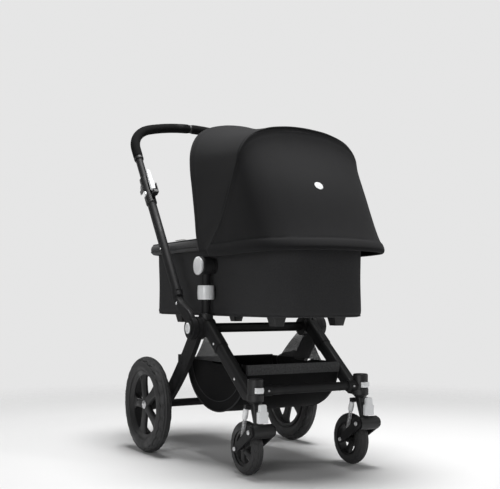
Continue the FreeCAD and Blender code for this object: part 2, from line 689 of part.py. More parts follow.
def clamp_bodies():
    """Clamps that close the arm on the upper bar; the right one also holds the brake lever."""
    half = size("arm_half")
    way = arm_way()
    low, top = size("clamp_low"), size("clamp_top")
    outside = cylinder(arm_point(half, low), arm_point(half, top), size("clamp_radius"))
    outside = outside.makeChamfer(2.5, [edge for edge in outside.Edges if edge.Curve.TypeId
                                        == "Part::GeomCircle"])
    ear = section_at(arm_point(half, low + 56, -14), way, ALONG_X, 11.4, 10, 4)
    ear = Part.Face(ear).extrude(way * 26)
    hinge = low + size("lever_up")
    lugs = [Part.Face(section_at(arm_point(half + across, hinge - 7, -26), way, ALONG_X, 1, 8, 0.9))
            .extrude(way * 14) for across in (-10.4, 10.4)]
    lugs.append(cylinder(arm_point(half - 10.8, hinge, -30), arm_point(half + 10.8, hinge, -30),
                         size("lever_pin")))
    arm_seat = cylinder(arm_point(half, low - 1), arm_point(half, size("arm_end")),
                        size("arm_radius"))
    bar_seat = cylinder(arm_point(half, low - 1), arm_point(half, top + 1),
                        size("upper_radius + fit_gap"))
    clamp = fused([outside, ear] + lugs).cut(arm_seat).cut(bar_seat)
    hook = Part.Face(section_at(arm_point(half - 6, low + 22, 20), way, ALONG_X, 7, 14, 4))
    hook = hook.extrude(way * 10)
    foot = Part.Face(section_at(arm_point(half - 8, low + 22, 29), way, ALONG_X, 8.5, 10, 3))
    foot = foot.extrude(way * 10)
    cheek = Part.Face(section_at(arm_point(half - 15, low + 22, 30), way, ALONG_X, 1.5, 9, 1.4))
    cheek = cheek.extrude(way * 38)
    pin = cylinder(arm_point(half - 15, low + 42, 29), arm_point(half + 3, low + 42, 29),
                   size("lever_pin"))
    brake_clamp = fused([outside, ear, hook, foot, cheek, pin] + lugs).cut(arm_seat).cut(bar_seat)
    from_shape("left_clamp_body", clamp)
    from_shape("right_clamp_body", mirrored(brake_clamp, -1))


def clamp_levers():
    """White levers behind the clamps that lock the handle's height."""
    half = size("arm_half")
    way = arm_way()
    reach = size("clamp_low + lever_up")
    bore = cylinder(arm_point(half - 20, reach, -30), arm_point(half + 20, reach, -30),
                    size("lever_pin + fit_gap"))
    for name, side in SIDES:
        root = Part.Face(section_at(arm_point(half, reach - 3, -30), way, ALONG_X, 9, 4, 3.5))
        blade = root.extrude(way * 38).cut(bore)
        from_shape(f"{name}_clamp_lever", mirrored(blade, side))


def brake_lever():
    """Long white hand lever in front of the right clamp."""
    half = size("arm_half")
    way = arm_way()
    blade = Part.Face(section_at(arm_point(half - 4, size("clamp_low") + 37.5, 29), way,
                                 ALONG_X, 8.4, 7.2, 6))
    bore = cylinder(arm_point(half - 20, size("clamp_low") + 42, 29),
                    arm_point(half + 20, size("clamp_low") + 42, 29), size("lever_pin + fit_gap"))
    from_shape("brake_lever", mirrored(blade.extrude(way * 84).cut(bore), -1))


def handle_path(trim):
    """Centre line of the upper bar from one leg round to the middle, in the handle's plane."""
    half, corner, crown = size("arm_half"), size("handle_corner"), size("handle_crown")
    crown_centre = size("handle_reach") - crown
    rise = math.sqrt((crown - corner) ** 2 - (half - corner) ** 2)
    corner_centre = crown_centre + rise
    meet = math.atan2(half - corner, rise)
    slim = math.asin(trim / crown)

    def on_corner(angle):
        return arm_point(half - corner + corner * math.cos(angle),
                         corner_centre + corner * math.sin(angle))

    def on_crown(angle):
        return arm_point(crown * math.sin(angle), crown_centre + crown * math.cos(angle))

    quarter = math.pi / 2 - meet
    bend = Part.Arc(on_corner(0), on_corner(quarter / 2), on_corner(quarter)).toShape()
    top = Part.Arc(on_crown(meet), on_crown((meet + slim) / 2), on_crown(slim)).toShape()
    return bend, top, corner_centre


def upper_bar():
    """One bent tube: two legs that slide in the arms, two corners and a crowned top."""
    half = size("arm_half")
    bend, top, corner_centre = handle_path(0)
    leg = Part.LineSegment(arm_point(half, size("upper_low")),
                           arm_point(half, corner_centre)).toShape()
    side_path = Part.Wire([leg, bend, top])
    one = along(side_path, [size("upper_radius")])
    from_shape("upper_bar", fused([one, mirrored(one, -1)]))


def grips():
    """Foam sleeves over the corners and the top, with a small gap in the middle."""
    half = size("arm_half")
    bend, top, corner_centre = handle_path(size("grip_gap") / 2)
    leg = Part.LineSegment(arm_point(half, size("grip_start")),
                           arm_point(half, corner_centre)).toShape()
    sleeve = along(Part.Wire([leg, bend, top]), [size("grip_radius"), size("upper_radius")])
    from_shape("handle_grips", Part.makeCompound([sleeve, mirrored(sleeve, -1)]))


# ---------------------------------------------------------------- carrycot and canopy
def cot_wire(grow, height, head=None):
    """Plan outline of the carrycot at one height, grown all round, or less at the head end."""
    head = grow if head is None else head
    return rounded_wire(size("cot_half") + grow, size("hub_y - cot_ahead") - head,
                        size("hub_y + cot_back") + grow, size("cot_corner") + grow, height)


def cot_block(grow, low, top, bottom_round):
    """An upright block of the carrycot's plan with its bottom edge rounded."""
    block = Part.Face(cot_wire(grow, low)).extrude(UP * (top - low))
    return block.makeFillet(bottom_round, [edge for edge in block.Edges
                                           if edge.BoundBox.ZMax < low + 0.1])


def carrycot_shell():
    """Tub with upright walls, a rounded bottom edge and an open top."""
    low, top, wall = size("cot_low"), size("cot_top"), size("cot_wall")
    outside = cot_block(0, low, top, size("cot_round"))
    inside = cot_block(-wall, low + wall, top + 1, size("cot_round - cot_wall"))
    from_shape("carrycot_shell", outside.cut(inside))


def cot_brackets():
    """Round plates on the tub's sides that sit between the seat adapters."""
    plate = cylinder(hub_point(size("cot_half"), 0, size("adapter_height")),
                     hub_point(size("adapter_in") - 0.4, 0, size("adapter_height")), 24)
    from_shape("cot_brackets", both_sides([plate]))


def carrycot_rim():
    """Padded roll round the top edge of the tub."""
    low = size("cot_top")
    over = size("rim_overhang")
    outside = Part.Face(cot_wire(over, low, size("rim_head"))).extrude(UP * size("rim_height"))
    outside = outside.makeFillet(9, [edge for edge in outside.Edges
                                     if edge.BoundBox.ZLength < 0.1])
    inside = Part.Face(cot_wire(-size("cot_wall"), low - 1)).extrude(UP * (size("rim_height") + 2))
    from_shape("carrycot_rim", outside.cut(inside))


def mattress():
    """Flat mattress on the floor of the tub."""
    floor = size("cot_low + cot_wall")
    pad = cot_block(-size("cot_wall") - 4, floor, floor + size("mattress_height"), 12)
    from_shape("mattress", pad)


def apron():
    """Cover over the foot end, resting on the rim."""
    base = size("cot_top + rim_height")
    cover = Part.Face(cot_wire(size("rim_overhang") - 9, base)).extrude(UP * size("apron_height"))
    cut = Part.makeBox(600, 1000, 100, Vector(-300, size("hub_y") + 86 - 1000, base - 10))
    from_shape("apron", cover.cut(cut))


def carrycot_feet():
    """Four tapered feet under the tub."""
    feet = []
    low = size("cot_low")
    for side in (-1, 1):
        for back in (-276, 318):
            spot = hub_point(side * 100, back, low)
            upper = section_at(spot, UP, ALONG_X, 20, 22, 5)
            lower = section_at(spot - UP * 25, UP, ALONG_X, 14, 17, 4)
            feet.append(Part.makeLoft([lower, upper], True, True))
    from_shape("carrycot_feet", Part.makeCompound(feet))


def canopy_clamps():
    """Hinge blocks inside the tub that the canopy hoops plug into."""
    spot = hub_point(size("cot_half - cot_wall"), size("pivot_back"), size("pivot_height"))
    block = Part.makeCylinder(14, size("clamp_thick"), spot, -ALONG_X)
    from_shape("canopy_clamps", both_sides([block]))


def whole_edge(rows):
    """A line right across the canopy from the rows of its left half, foot to crest."""
    half = [hub_point(*row) for row in rows]
    return half + [Vector(-spot.x, spot.y, spot.z) for spot in reversed(half[:-1])]


def hoop(label, rows, first, inset, gap, behind):
    """A bent wire inside and behind the cloth, from a gap beside the clamps up and over."""
    tail = size("hoop_tail")
    pivot = size("pivot_back")
    foot = size("cot_half - cot_wall - clamp_thick - hoop_wire") - gap
    slope = (rows[first][1] - pivot) / (rows[first][2] - size("pivot_height"))
    start = [(foot, pivot, size("pivot_height")),
             (foot + 1, pivot + slope * tail, size("pivot_height") + tail)]
    inner = []
    for across, back, height in rows[first:]:
        share = across / rows[first][0]
        drop = inset * math.sqrt(1 - min(1, share) ** 2)
        inner.append((across - inset * share, back + behind, height - drop))
    line = Part.BSplineCurve()
    line.interpolate(whole_edge(start + inner))
    from_shape(label, along(Part.Wire(line.toShape()), [size("hoop_wire")]))


def sheet_solid(grid):
    """A closed solid from a grid of outer points: the same sheet again, one cloth further in."""
    centre = hub_point(0, -60, 700)
    thick = size("cloth")
    surfaces = []
    for depth in (0, thick):
        rows = [[spot + (centre - spot).normalize() * depth for spot in line] for line in grid]
        surface = Part.BSplineSurface()
        surface.interpolate(rows)
        surfaces.append(surface.toShape())
    outer, inner = surfaces
    faces = [outer, inner]
    for edge, other in zip(outer.Edges, inner.Edges):
        faces.append(Part.makeRuledSurface(edge, other))
    shell = Part.Shell(Part.makeCompound(faces).Faces)
    shell.sewShape()
    solid = Part.Solid(shell)
    if solid.Volume < 0:
        solid.reverse()
    return solid


def canopy_front():
    """Sheet from the arch down to the hem that wraps the head end, flaring as it falls."""
    grid = []
    for hem, arch in zip(whole_edge(HEM), whole_edge(ARCH)):
        line = []
        for part in (0, 0.12, 0.35, 0.65, 1):
            reach = (1 - part) ** 1.35
            line.append(Vector(arch.x + (hem.x - arch.x) * reach, arch.y + (hem.y - arch.y) * reach,
                               hem.z + (arch.z - hem.z) * part))
        grid.append(line)
    from_shape("canopy_front", sheet_solid(grid))


def canopy_top():
    """Sheet stretched between the arch and the mouth of the canopy."""
    grid = []
    for arch, mouth in zip(whole_edge(ARCH), whole_edge(MOUTH)):
        arch = arch + Vector(0, size("canopy_gap"), 0)
        dip = Vector(0, 0, 0.02 * (arch.z - size("cot_top")))
        grid.append([arch, arch * 0.66 + mouth * 0.34 - dip, arch * 0.34 + mouth * 0.66 - dip,
                     mouth])
    from_shape("canopy_top", sheet_solid(grid))


def basket():
    """D-shaped cloth basket with an open top, slung below the hub axis."""
    def half_round(reach, depth, half, top):
        centre = Vector(-half, size("hub_y - basket_ahead"), top)
        ellipse = Part.Ellipse(centre + Vector(0, reach, 0), centre - UP * depth, centre)
        bowl = Part.ArcOfEllipse(ellipse, 0, math.pi).toShape()
        ends = [bowl.valueAt(bowl.FirstParameter), bowl.valueAt(bowl.LastParameter)]
        wire = Part.Wire([bowl, Part.LineSegment(ends[1], ends[0]).toShape()])
        return Part.Face(wire).extrude(ALONG_X * (2 * half))
    reach, depth = size("basket_reach"), size("basket_depth")
    half, top = size("basket_half"), size("basket_top")
    outside = half_round(reach, depth, half, top)
    inside = half_round(reach - 4, depth - 4, half - 4, top)
    from_shape("basket", outside.cut(inside))


MAKERS = (cross_bar, hub_housings, front_legs, frame_pins, caster_housings, front_bar, risers,
          seat_adapters, adapter_buttons, release_rings, swivel_locks, rear_axle, rear_legs,
          rear_wheels, caster_forks, swing_arms, caster_springs, wheel_catches,
          front_wheels, handle_arms, hub_buttons, clamp_bodies, clamp_levers, brake_lever,
          upper_bar, grips, carrycot_shell, cot_brackets, carrycot_rim, mattress, apron, carrycot_feet,
          canopy_clamps, canopy_front, canopy_top, basket)
for make in MAKERS:
    make()
hoop("arch_hoop", ARCH, 3, 12, 0.1, 7)
hoop("mouth_hoop", MOUTH, 2, 11, 8, 0)
doc.recompute()

# ---------------------------------------------------------------- test and write
faults = [thing.Name for thing in doc.Objects if {"Invalid", "Error"} & set(thing.State)]
for thing in subparts:
    if thing.Shape.isNull() or not thing.Shape.isValid() or not thing.Shape.Solids:
        faults.append(thing.Label)
if faults:
    raise RuntimeError("not sound: " + ", ".join(faults))
for thing in subparts:
    thing.Shape.exportStep(os.path.join("parts", thing.Label + ".step"))
print(len(subparts), "sub-parts written")
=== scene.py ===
"""Carrycot stroller: cloth, foam, rubber, moulded and painted finishes on its CAD frame.

Metres in the frame of the model: X across, the front faces -Y, Z up, wheels on Z = 0.
Distances called back are measured along Y from the hub axis.
"""

import json
import math

import bpy
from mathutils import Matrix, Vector, noise


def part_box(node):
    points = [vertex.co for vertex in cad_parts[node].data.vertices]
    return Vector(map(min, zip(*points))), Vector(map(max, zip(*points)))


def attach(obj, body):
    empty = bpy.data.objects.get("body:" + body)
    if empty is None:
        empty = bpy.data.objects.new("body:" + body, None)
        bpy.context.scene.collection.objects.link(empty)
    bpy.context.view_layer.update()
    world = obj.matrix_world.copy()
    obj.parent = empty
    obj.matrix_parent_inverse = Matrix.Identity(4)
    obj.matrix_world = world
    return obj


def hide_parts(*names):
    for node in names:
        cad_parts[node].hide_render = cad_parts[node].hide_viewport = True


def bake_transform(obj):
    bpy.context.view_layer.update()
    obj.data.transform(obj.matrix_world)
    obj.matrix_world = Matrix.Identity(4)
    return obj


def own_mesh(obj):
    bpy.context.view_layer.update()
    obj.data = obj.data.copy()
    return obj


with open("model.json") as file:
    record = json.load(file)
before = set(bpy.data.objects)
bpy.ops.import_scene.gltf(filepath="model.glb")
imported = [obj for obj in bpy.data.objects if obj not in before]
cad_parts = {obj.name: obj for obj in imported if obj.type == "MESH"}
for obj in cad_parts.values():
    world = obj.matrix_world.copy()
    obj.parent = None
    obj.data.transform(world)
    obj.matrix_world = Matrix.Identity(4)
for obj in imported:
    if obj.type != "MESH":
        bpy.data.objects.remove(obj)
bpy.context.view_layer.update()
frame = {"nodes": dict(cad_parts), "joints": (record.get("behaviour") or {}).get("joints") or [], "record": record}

bl_info = {
    "name": "Carrycot Stroller Finishes",
    "version": (1, 0, 0),
    "blender": (4, 5, 0),
    "location": "3D View > Sidebar > Stroller",
    "description": "Builds the soft goods, tyres, trims and finishes of a carrycot stroller",
    "category": "Add Mesh",
}

JOINTS = {joint["name"]: joint for joint in frame["joints"]}
HUB = Vector(JOINTS["rear_frame_fold"]["pos_m"])
SIDES = (("right", -1), ("left", 1))
ALONG_X, ALONG_Y, UP = Vector((1, 0, 0)), Vector((0, 1, 0)), Vector((0, 0, 1))
LEAN = math.radians(34)
ARM_WAY = Vector((0, math.sin(LEAN), math.cos(LEAN)))
ARM_FORWARD = Vector((0, -math.cos(LEAN), math.sin(LEAN)))
MM = 0.001


# ---------------------------------------------------------------- sizes and colours
def length(name, default, description):
    return bpy.props.FloatProperty(name=name, description=description, default=default,
                                   min=0, soft_max=1, unit="LENGTH", precision=4)


def colour(name, default, description):
    return bpy.props.FloatVectorProperty(name=name, description=description, default=default,
                                         size=3, min=0, max=1, subtype="COLOR")


class StrollerSizes(bpy.types.PropertyGroup):
    """Sizes of the details that are made here."""

    tread_depth: length("Tread depth", 0.0019, "Depth of the grooves in the tyres")
    piping_radius: length("Piping radius", 0.0021, "Half the thickness of the canopy piping")
    hem_width: length("Hem width", 0.031, "Height of the turned hem round the canopy")
    hem_puff: length("Hem puff", 0.0030, "How far the turned hem stands out")
    cloth_thickness: length("Cloth thickness", 0.0013, "Thickness of the outer cloth")
    fold_depth: length("Fold depth", 0.0016, "Depth of the soft folds in stretched cloth")
    grip_radius: length("Grip radius", 0.0160, "Half the thickness of the foam grips")
    stud_radius: length("Stud radius", 0.0135, "Radius of the plain stud on the canopy")
    weave_pitch: length("Weave pitch", 0.0016, "Distance between threads of the outer cloth")


class StrollerColours(bpy.types.PropertyGroup):
    """Base colours of the finishes."""

    paint: colour("Frame paint", (0.0150, 0.0150, 0.0157), "Satin black paint on the tubes")
    plastic: colour("Black plastic", (0.0120, 0.0120, 0.0125), "Moulded black housings")
    white: colour("White plastic", (0.87, 0.88, 0.89), "Gloss white buttons and rings")
    rubber: colour("Tyre rubber", (0.0290, 0.0290, 0.0297), "Tyres")
    foam: colour("Grip foam", (0.0048, 0.0048, 0.0050), "Handle grips")
    canopy: colour("Canopy cloth", (0.0150, 0.0150, 0.0158), "Canopy")
    basket: colour("Basket cloth", (0.0080, 0.0080, 0.0085), "Basket bag and side panels")
    tub: colour("Carrycot cloth", (0.0380, 0.0380, 0.0393), "Carrycot sides, apron and bindings")
    rim: colour("Rim cloth", (0.0760, 0.0765, 0.0780), "Brushed cloth on the rim roll")
    lining: colour("Lining", (0.62, 0.61, 0.59), "Pale cotton inside the carrycot")
    metal: colour("Bright metal", (0.72, 0.72, 0.73), "Rivets, bolts, springs and wires")


# ---------------------------------------------------------------- places
def hub(across, back, height):
    """A point in millimetres: across, behind the hub axis, above the ground."""
    return Vector((across * MM, HUB.y + back * MM, height * MM))


def arm(across, reach, ahead=0):
    """A point in the handle's own plane, in millimetres up the arm and square to it."""
    foot = HUB - ARM_FORWARD * (13 * MM)
    return foot + ARM_WAY * (reach * MM) + ARM_FORWARD * (ahead * MM) + ALONG_X * (across * MM)


def smooth_line(points, steps):
    """A Catmull-Rom line through points, with that many steps from each to the next."""
    points = [Vector(point) for point in points]
    line = []
    for index, (b, c) in enumerate(zip(points, points[1:])):
        a = points[index - 1] if index else b * 2 - c
        d = points[index + 2] if index + 2 < len(points) else c * 2 - b
        for step in range(steps):
            t = step / steps
            line.append(0.5 * (2 * b + (c - a) * t + (2 * a - 5 * b + 4 * c - d) * t * t
                               + (3 * b - a - 3 * c + d) * t ** 3))
    return line + [points[-1]]


def ease(low, high, value):
    """0 below low, 1 above high and a smooth step between."""
    t = min(1, max(0, (value - low) / (high - low)))
    return t * t * (3 - 2 * t)


def plan(grow, height, head=None, per_corner=12, per_side=14):
    """Points round the carrycot's outline, grown all round, or less at the head end."""
    head = grow if head is None else head
    half, low, high, corner = 150.5 + grow, -393 - head, 484 + grow, 100 + grow
    points = []
    for x, y, begin in ((half, high, 0), (-half, high, 90), (-half, low, 180), (half, low, 270)):
        centre_x = x - math.copysign(corner, x)
        centre_y = y - corner if y == high else y + corner
        for step in range(per_corner):
            turn = math.radians(begin + 90 * step / (per_corner - 1))
            points.append(hub(centre_x + corner * math.cos(turn),
                              centre_y + corner * math.sin(turn), height))
    whole = []
    for index, point in enumerate(points):
        whole.append(point)
        if index % per_corner == per_corner - 1:
            follower = points[(index + 1) % len(points)]
            whole += [point.lerp(follower, step / per_side) for step in range(1, per_side)]
    return whole


# ---------------------------------------------------------------- making meshes
class Blank:
    """Collects faces for one piece; each face has a material number and metric UVs."""

    def __init__(self):
        self.points, self.faces, self.paints, self.uvs = [], [], [], []

    def grid(self, rows, around=False, along=False, caps=False, paint=0):
        """Quads over rows of points; around closes each row, along closes row to row."""
        base, wide, tall = len(self.points), len(rows[0]), len(rows)
        self.points += [Vector(point) for row in rows for point in row]
        middle = rows[tall // 2]
        across = [0.0]
        for index in range(wide):
            across.append(across[-1] + (middle[(index + 1) % wide] - middle[index]).length)
        up = [0.0]
        for index in range(tall):
            step = rows[(index + 1) % tall][wide // 2] - rows[index][wide // 2]
            up.append(up[-1] + step.length)
        for j in range(tall if along else tall - 1):
            for i in range(wide if around else wide - 1):
                k, m = (i + 1) % wide, (j + 1) % tall
                self.faces.append([base + j * wide + i, base + j * wide + k,
                                   base + m * wide + k, base + m * wide + i])
                self.uvs.append([(across[i], up[j]), (across[i + 1], up[j]),
                                 (across[i + 1], up[j + 1]), (across[i], up[j + 1])])
                self.paints.append(paint)
        if caps:
            for j, flip in ((0, True), (tall - 1, False)):
                ring = [base + j * wide + i for i in range(wide)]
                ring = ring[::-1] if flip else ring
                self.faces.append(ring)
                self.uvs.append([self.points[i].to_2d() for i in ring])
                self.paints.append(paint)

    def pipe(self, line, radius, sides=14, closed=False):
        """A round bar along a line; radius is a number or one for each point."""
        count = len(line)
        radii = radius if hasattr(radius, "__len__") else [radius] * count
        rows = []
        heading = (line[1] - line[0]).normalized()
        side = heading.orthogonal().normalized()
        for index, point in enumerate(line):
            before = line[index - 1] if index or closed else point
            after = line[(index + 1) % count] if index < count - 1 or closed else point
            way = (after - before).normalized()
            side = (side - way * side.dot(way)).normalized()
            other = way.cross(side)
            rows.append([point + (side * math.cos(math.tau * step / sides)
                                  + other * math.sin(math.tau * step / sides)) * radii[index]
                         for step in range(sides)])
        self.grid(rows, around=True, along=closed, caps=not closed)

    def lathe(self, profile, centre, axis, steps=48, closed=False):
        """A turned shape; the profile's points are (along the axis, radius)."""
        axis = axis.normalized()
        side = axis.orthogonal().normalized()
        if abs(axis.x) > 0.9:
            side = UP.copy()
        other = axis.cross(side)
        rows = []
        for along, radius in profile:
            ring = []
            for step in range(steps):
                turn = math.tau * step / steps
                way = side * math.cos(turn) + other * math.sin(turn)
                ring.append(centre + axis * along + way * radius)
            rows.append(ring)
        self.grid(rows, around=True, along=closed, caps=not closed)

    def loft(self, sections):
        """A closed bar through sections: centre, across, other, half sizes and squareness."""
        rows = []
        for centre, across, other, half_a, half_b, square in sections:
            ring = []
            for step in range(24):
                turn = math.tau * (step + 0.5) / 24
                cosine, sine = math.cos(turn), math.sin(turn)
                power = 2 / square
                ring.append(centre
                            + across * math.copysign(abs(cosine) ** power, cosine) * half_a
                            + other * math.copysign(abs(sine) ** power, sine) * half_b)
            rows.append(ring)
        self.grid(rows, around=True, caps=True)

    def piece(self, name, body, materials, slot, replaces=(), sharp=35, ride=True):
        """Turn what was collected into an object that rides on a body."""
        mesh = bpy.data.meshes.new(name)
        mesh.from_pydata(self.points, [], self.faces)
        layer = mesh.uv_layers.new(name="Metric")
        loop = 0
        for polygon, corners, paint in zip(mesh.polygons, self.uvs, self.paints):
            polygon.use_smooth = True
            polygon.material_index = paint
            for corner in corners:
                layer.data[loop].uv = corner
                loop += 1
        for material in materials if isinstance(materials, (list, tuple)) else [materials]:
            mesh.materials.append(material)
        mesh.update()
        mesh.set_sharp_from_angle(angle=math.radians(sharp))
        thing = bpy.data.objects.new(name, mesh)
        bpy.context.scene.collection.objects.link(thing)
        if ride:
            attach(thing, body)
        if replaces:
            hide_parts(*replaces)
        return thing


def thicken(thing, depth):
    """Give a sheet its cloth thickness, inwards."""
    skin = thing.modifiers.new("cloth", "SOLIDIFY")
    skin.thickness, skin.offset = depth, -1
    return thing


# ---------------------------------------------------------------- shared effects
def new_group(name, inputs, outputs):
    """A shader node group with named sockets, and its input and output nodes."""
    if name in bpy.data.node_groups:
        return bpy.data.node_groups[name], None, None
    group = bpy.data.node_groups.new(name, "ShaderNodeTree")
    for label, kind, default in inputs:
        socket = group.interface.new_socket(name=label, in_out="INPUT", socket_type=kind)
        if default is not None:
            socket.default_value = default
    for label, kind in outputs:
        group.interface.new_socket(name=label, in_out="OUTPUT", socket_type=kind)
    return group, group.nodes.new("NodeGroupInput"), group.nodes.new("NodeGroupOutput")


def add(tree, kind, links=None, **values):
    """Add a node, set its properties or its unlinked sockets, and link its inputs."""
    node = tree.nodes.new(kind)
    for key, value in values.items():
        if key.startswith("in_"):
            node.inputs[key[3:].replace("_", " ")].default_value = value
        else:
            setattr(node, key, value)
    for key, source in (links or {}).items():
        tree.links.new(source, node.inputs[key])
    return node


def mix(tree, factor, first, second):
    """Blend two colours; each argument is a socket or a plain value."""
    node = add(tree, "ShaderNodeMix", data_type="RGBA")
    for index, value in ((0, factor), (6, first), (7, second)):
        if isinstance(value, bpy.types.NodeSocket):
            tree.links.new(value, node.inputs[index])
        else:
            node.inputs[index].default_value = value
    return node.outputs[2]


def math_node(tree, operation, first, second=0.0, third=0.0):
    """One arithmetic step; each argument is a socket or a number."""
    node = add(tree, "ShaderNodeMath", operation=operation)
    for index, value in enumerate((first, second, third)):
        if isinstance(value, bpy.types.NodeSocket):
            tree.links.new(value, node.inputs[index])
        else:
            node.inputs[index].default_value = value
    return node.outputs[0]


def weave_group():
    """Plain weave: threads that pass over and under, with slubs, soft colour drift, painted shade in the dips
    between threads and painted light on their crowns.
    """
    group, given, out = new_group("plain_weave", [
        ("Vector", "NodeSocketVector", None), ("Color", "NodeSocketColor", (0.5, 0.5, 0.5, 1)),
        ("Threads", "NodeSocketFloat", 600.0), ("Melange", "NodeSocketFloat", 0.3)],
        [("Color", "NodeSocketColor"), ("Height", "NodeSocketFloat"),
         ("Roughness", "NodeSocketFloat")])
    if given is None:
        return group
    scaled = add(group, "ShaderNodeVectorMath", {0: given.outputs["Vector"]}, operation="SCALE")
    group.links.new(given.outputs["Threads"], scaled.inputs["Scale"])
    split = add(group, "ShaderNodeSeparateXYZ", {0: scaled.outputs[0]})
    waves = [math_node(group, "SINE", math_node(group, "MULTIPLY", split.outputs[i], math.pi))
             for i in (0, 1)]
    crossing = math_node(group, "MULTIPLY", waves[0], waves[1])
    lift = math_node(group, "MULTIPLY_ADD", crossing, 0.5, 0.5)
    slub = add(group, "ShaderNodeTexNoise", {"Vector": scaled.outputs[0]}, in_Scale=0.35,
               in_Detail=3.0)
    drift = add(group, "ShaderNodeTexNoise", {"Vector": given.outputs["Vector"]}, in_Scale=9.0,
                in_Detail=4.0)
    speck = math_node(group, "SUBTRACT", slub.outputs["Fac"], 0.5)
    speck = math_node(group, "MULTIPLY", speck, given.outputs["Melange"])
    tone = math_node(group, "SUBTRACT", drift.outputs["Fac"], 0.5)
    tone = math_node(group, "MULTIPLY", tone, 0.25)
    tone = math_node(group, "ADD", math_node(group, "ADD", tone, speck), 1.0)
    # painted shade and light: the colour goes from 0.88 where the threads dip under to 1.10 on their crowns
    shade = math_node(group, "MULTIPLY_ADD", lift, 0.22, 0.88)
    tone = math_node(group, "MULTIPLY", tone, shade)
    tinted = add(group, "ShaderNodeVectorMath", {0: given.outputs["Color"]}, operation="SCALE")
    group.links.new(tone, tinted.inputs["Scale"])
    group.links.new(tinted.outputs[0], out.inputs["Color"])
    height = math_node(group, "ADD", lift, math_node(group, "MULTIPLY", slub.outputs["Fac"], 0.6))
    group.links.new(height, out.inputs["Height"])
    rough = math_node(group, "MULTIPLY_ADD", drift.outputs["Fac"], 0.12, 0.82)
    group.links.new(rough, out.inputs["Roughness"])
    return group


def grain_group():
    """Moulded or sprayed grain: fine pits, slow colour drift and rubbed patches."""
    group, given, out = new_group("moulded_grain", [
        ("Color", "NodeSocketColor", (0.5, 0.5, 0.5, 1)), ("Grain", "NodeSocketFloat", 900.0),
        ("Drift", "NodeSocketFloat", 0.15), ("Rub", "NodeSocketFloat", 0.05),
        ("Roughness", "NodeSocketFloat", 0.5)],
        [("Color", "NodeSocketColor"), ("Height", "NodeSocketFloat"),
         ("Roughness", "NodeSocketFloat")])
    if given is None:
        return group
    place = add(group, "ShaderNodeTexCoord").outputs["Object"]
    pits = add(group, "ShaderNodeTexNoise", {"Vector": place}, in_Detail=3.0)
    group.links.new(given.outputs["Grain"], pits.inputs["Scale"])
    drift = add(group, "ShaderNodeTexNoise", {"Vector": place}, in_Scale=14.0, in_Detail=5.0)
    rubbed = add(group, "ShaderNodeMapRange", {"Value": drift.outputs["Fac"]})
    rubbed.inputs["From Min"].default_value, rubbed.inputs["From Max"].default_value = 0.56, 0.75
    share = math_node(group, "MULTIPLY", rubbed.outputs[0], given.outputs["Rub"])
    tone = math_node(group, "SUBTRACT", drift.outputs["Fac"], 0.5)
    tone = math_node(group, "ADD", math_node(group, "MULTIPLY", tone, given.outputs["Drift"]), 1.0)
    tone = math_node(group, "ADD", tone, share)
    tinted = add(group, "ShaderNodeVectorMath", {0: given.outputs["Color"]}, operation="SCALE")
    group.links.new(tone, tinted.inputs["Scale"])
    group.links.new(tinted.outputs[0], out.inputs["Color"])
    group.links.new(pits.outputs["Fac"], out.inputs["Height"])
    rough = math_node(group, "SUBTRACT", pits.outputs["Fac"], 0.5)
    rough = math_node(group, "MULTIPLY", rough, 0.16)
    rough = math_node(group, "ADD", rough, given.outputs["Roughness"])
    rough = math_node(group, "SUBTRACT", rough, math_node(group, "MULTIPLY", share, 0.5))
    group.links.new(rough, out.inputs["Roughness"])
    return group


def start_material(name):
    """A new node material, its tree and its shader node."""
    material = bpy.data.materials.new(name)
    material.use_nodes = True
    tree = material.node_tree
    return material, tree, tree.nodes["Principled BSDF"]


def grained(name, shade, roughness, grain, drift, rub, bump, **sockets):
    """Paint, plastic, rubber, foam or metal with the shared grain."""
    if name in bpy.data.materials:
        return bpy.data.materials[name]
    material, tree, shader = start_material(name)
    effect = add(tree, "ShaderNodeGroup", node_tree=grain_group())
    for label, value in (("Color", (*shade, 1)), ("Grain", grain), ("Drift", drift),
                         ("Rub", rub), ("Roughness", roughness)):
        effect.inputs[label].default_value = value
    relief = add(tree, "ShaderNodeBump", {"Height": effect.outputs["Height"]}, in_Strength=bump,
                 in_Distance=0.0004)
    tree.links.new(effect.outputs["Color"], shader.inputs["Base Color"])
    tree.links.new(effect.outputs["Roughness"], shader.inputs["Roughness"])
    tree.links.new(relief.outputs[0], shader.inputs["Normal"])
    for label, value in sockets.items():
        shader.inputs[label.replace("_", " ")].default_value = value
    return material


def woven(name, shade, threads, melange, bump, sheen=0.02, shine=0.10):
    """Cloth with the shared weave, laid by the piece's metric UVs."""
    if name in bpy.data.materials:
        return bpy.data.materials[name]
    material, tree, shader = start_material(name)
    place = add(tree, "ShaderNodeUVMap", uv_map="Metric")
    effect = add(tree, "ShaderNodeGroup", {"Vector": place.outputs[0]}, node_tree=weave_group())
    effect.inputs["Color"].default_value = (*shade, 1)
    effect.inputs["Threads"].default_value = threads
    effect.inputs["Melange"].default_value = melange
    relief = add(tree, "ShaderNodeBump", {"Height": effect.outputs["Height"]}, in_Strength=bump,
                 in_Distance=0.0005)
    tree.links.new(effect.outputs["Color"], shader.inputs["Base Color"])
    tree.links.new(effect.outputs["Roughness"], shader.inputs["Roughness"])
    tree.links.new(relief.outputs[0], shader.inputs["Normal"])
    shader.inputs["Sheen Weight"].default_value = sheen
    shader.inputs["Sheen Roughness"].default_value = 0.45
    shader.inputs["Specular IOR Level"].default_value = shine
    return material


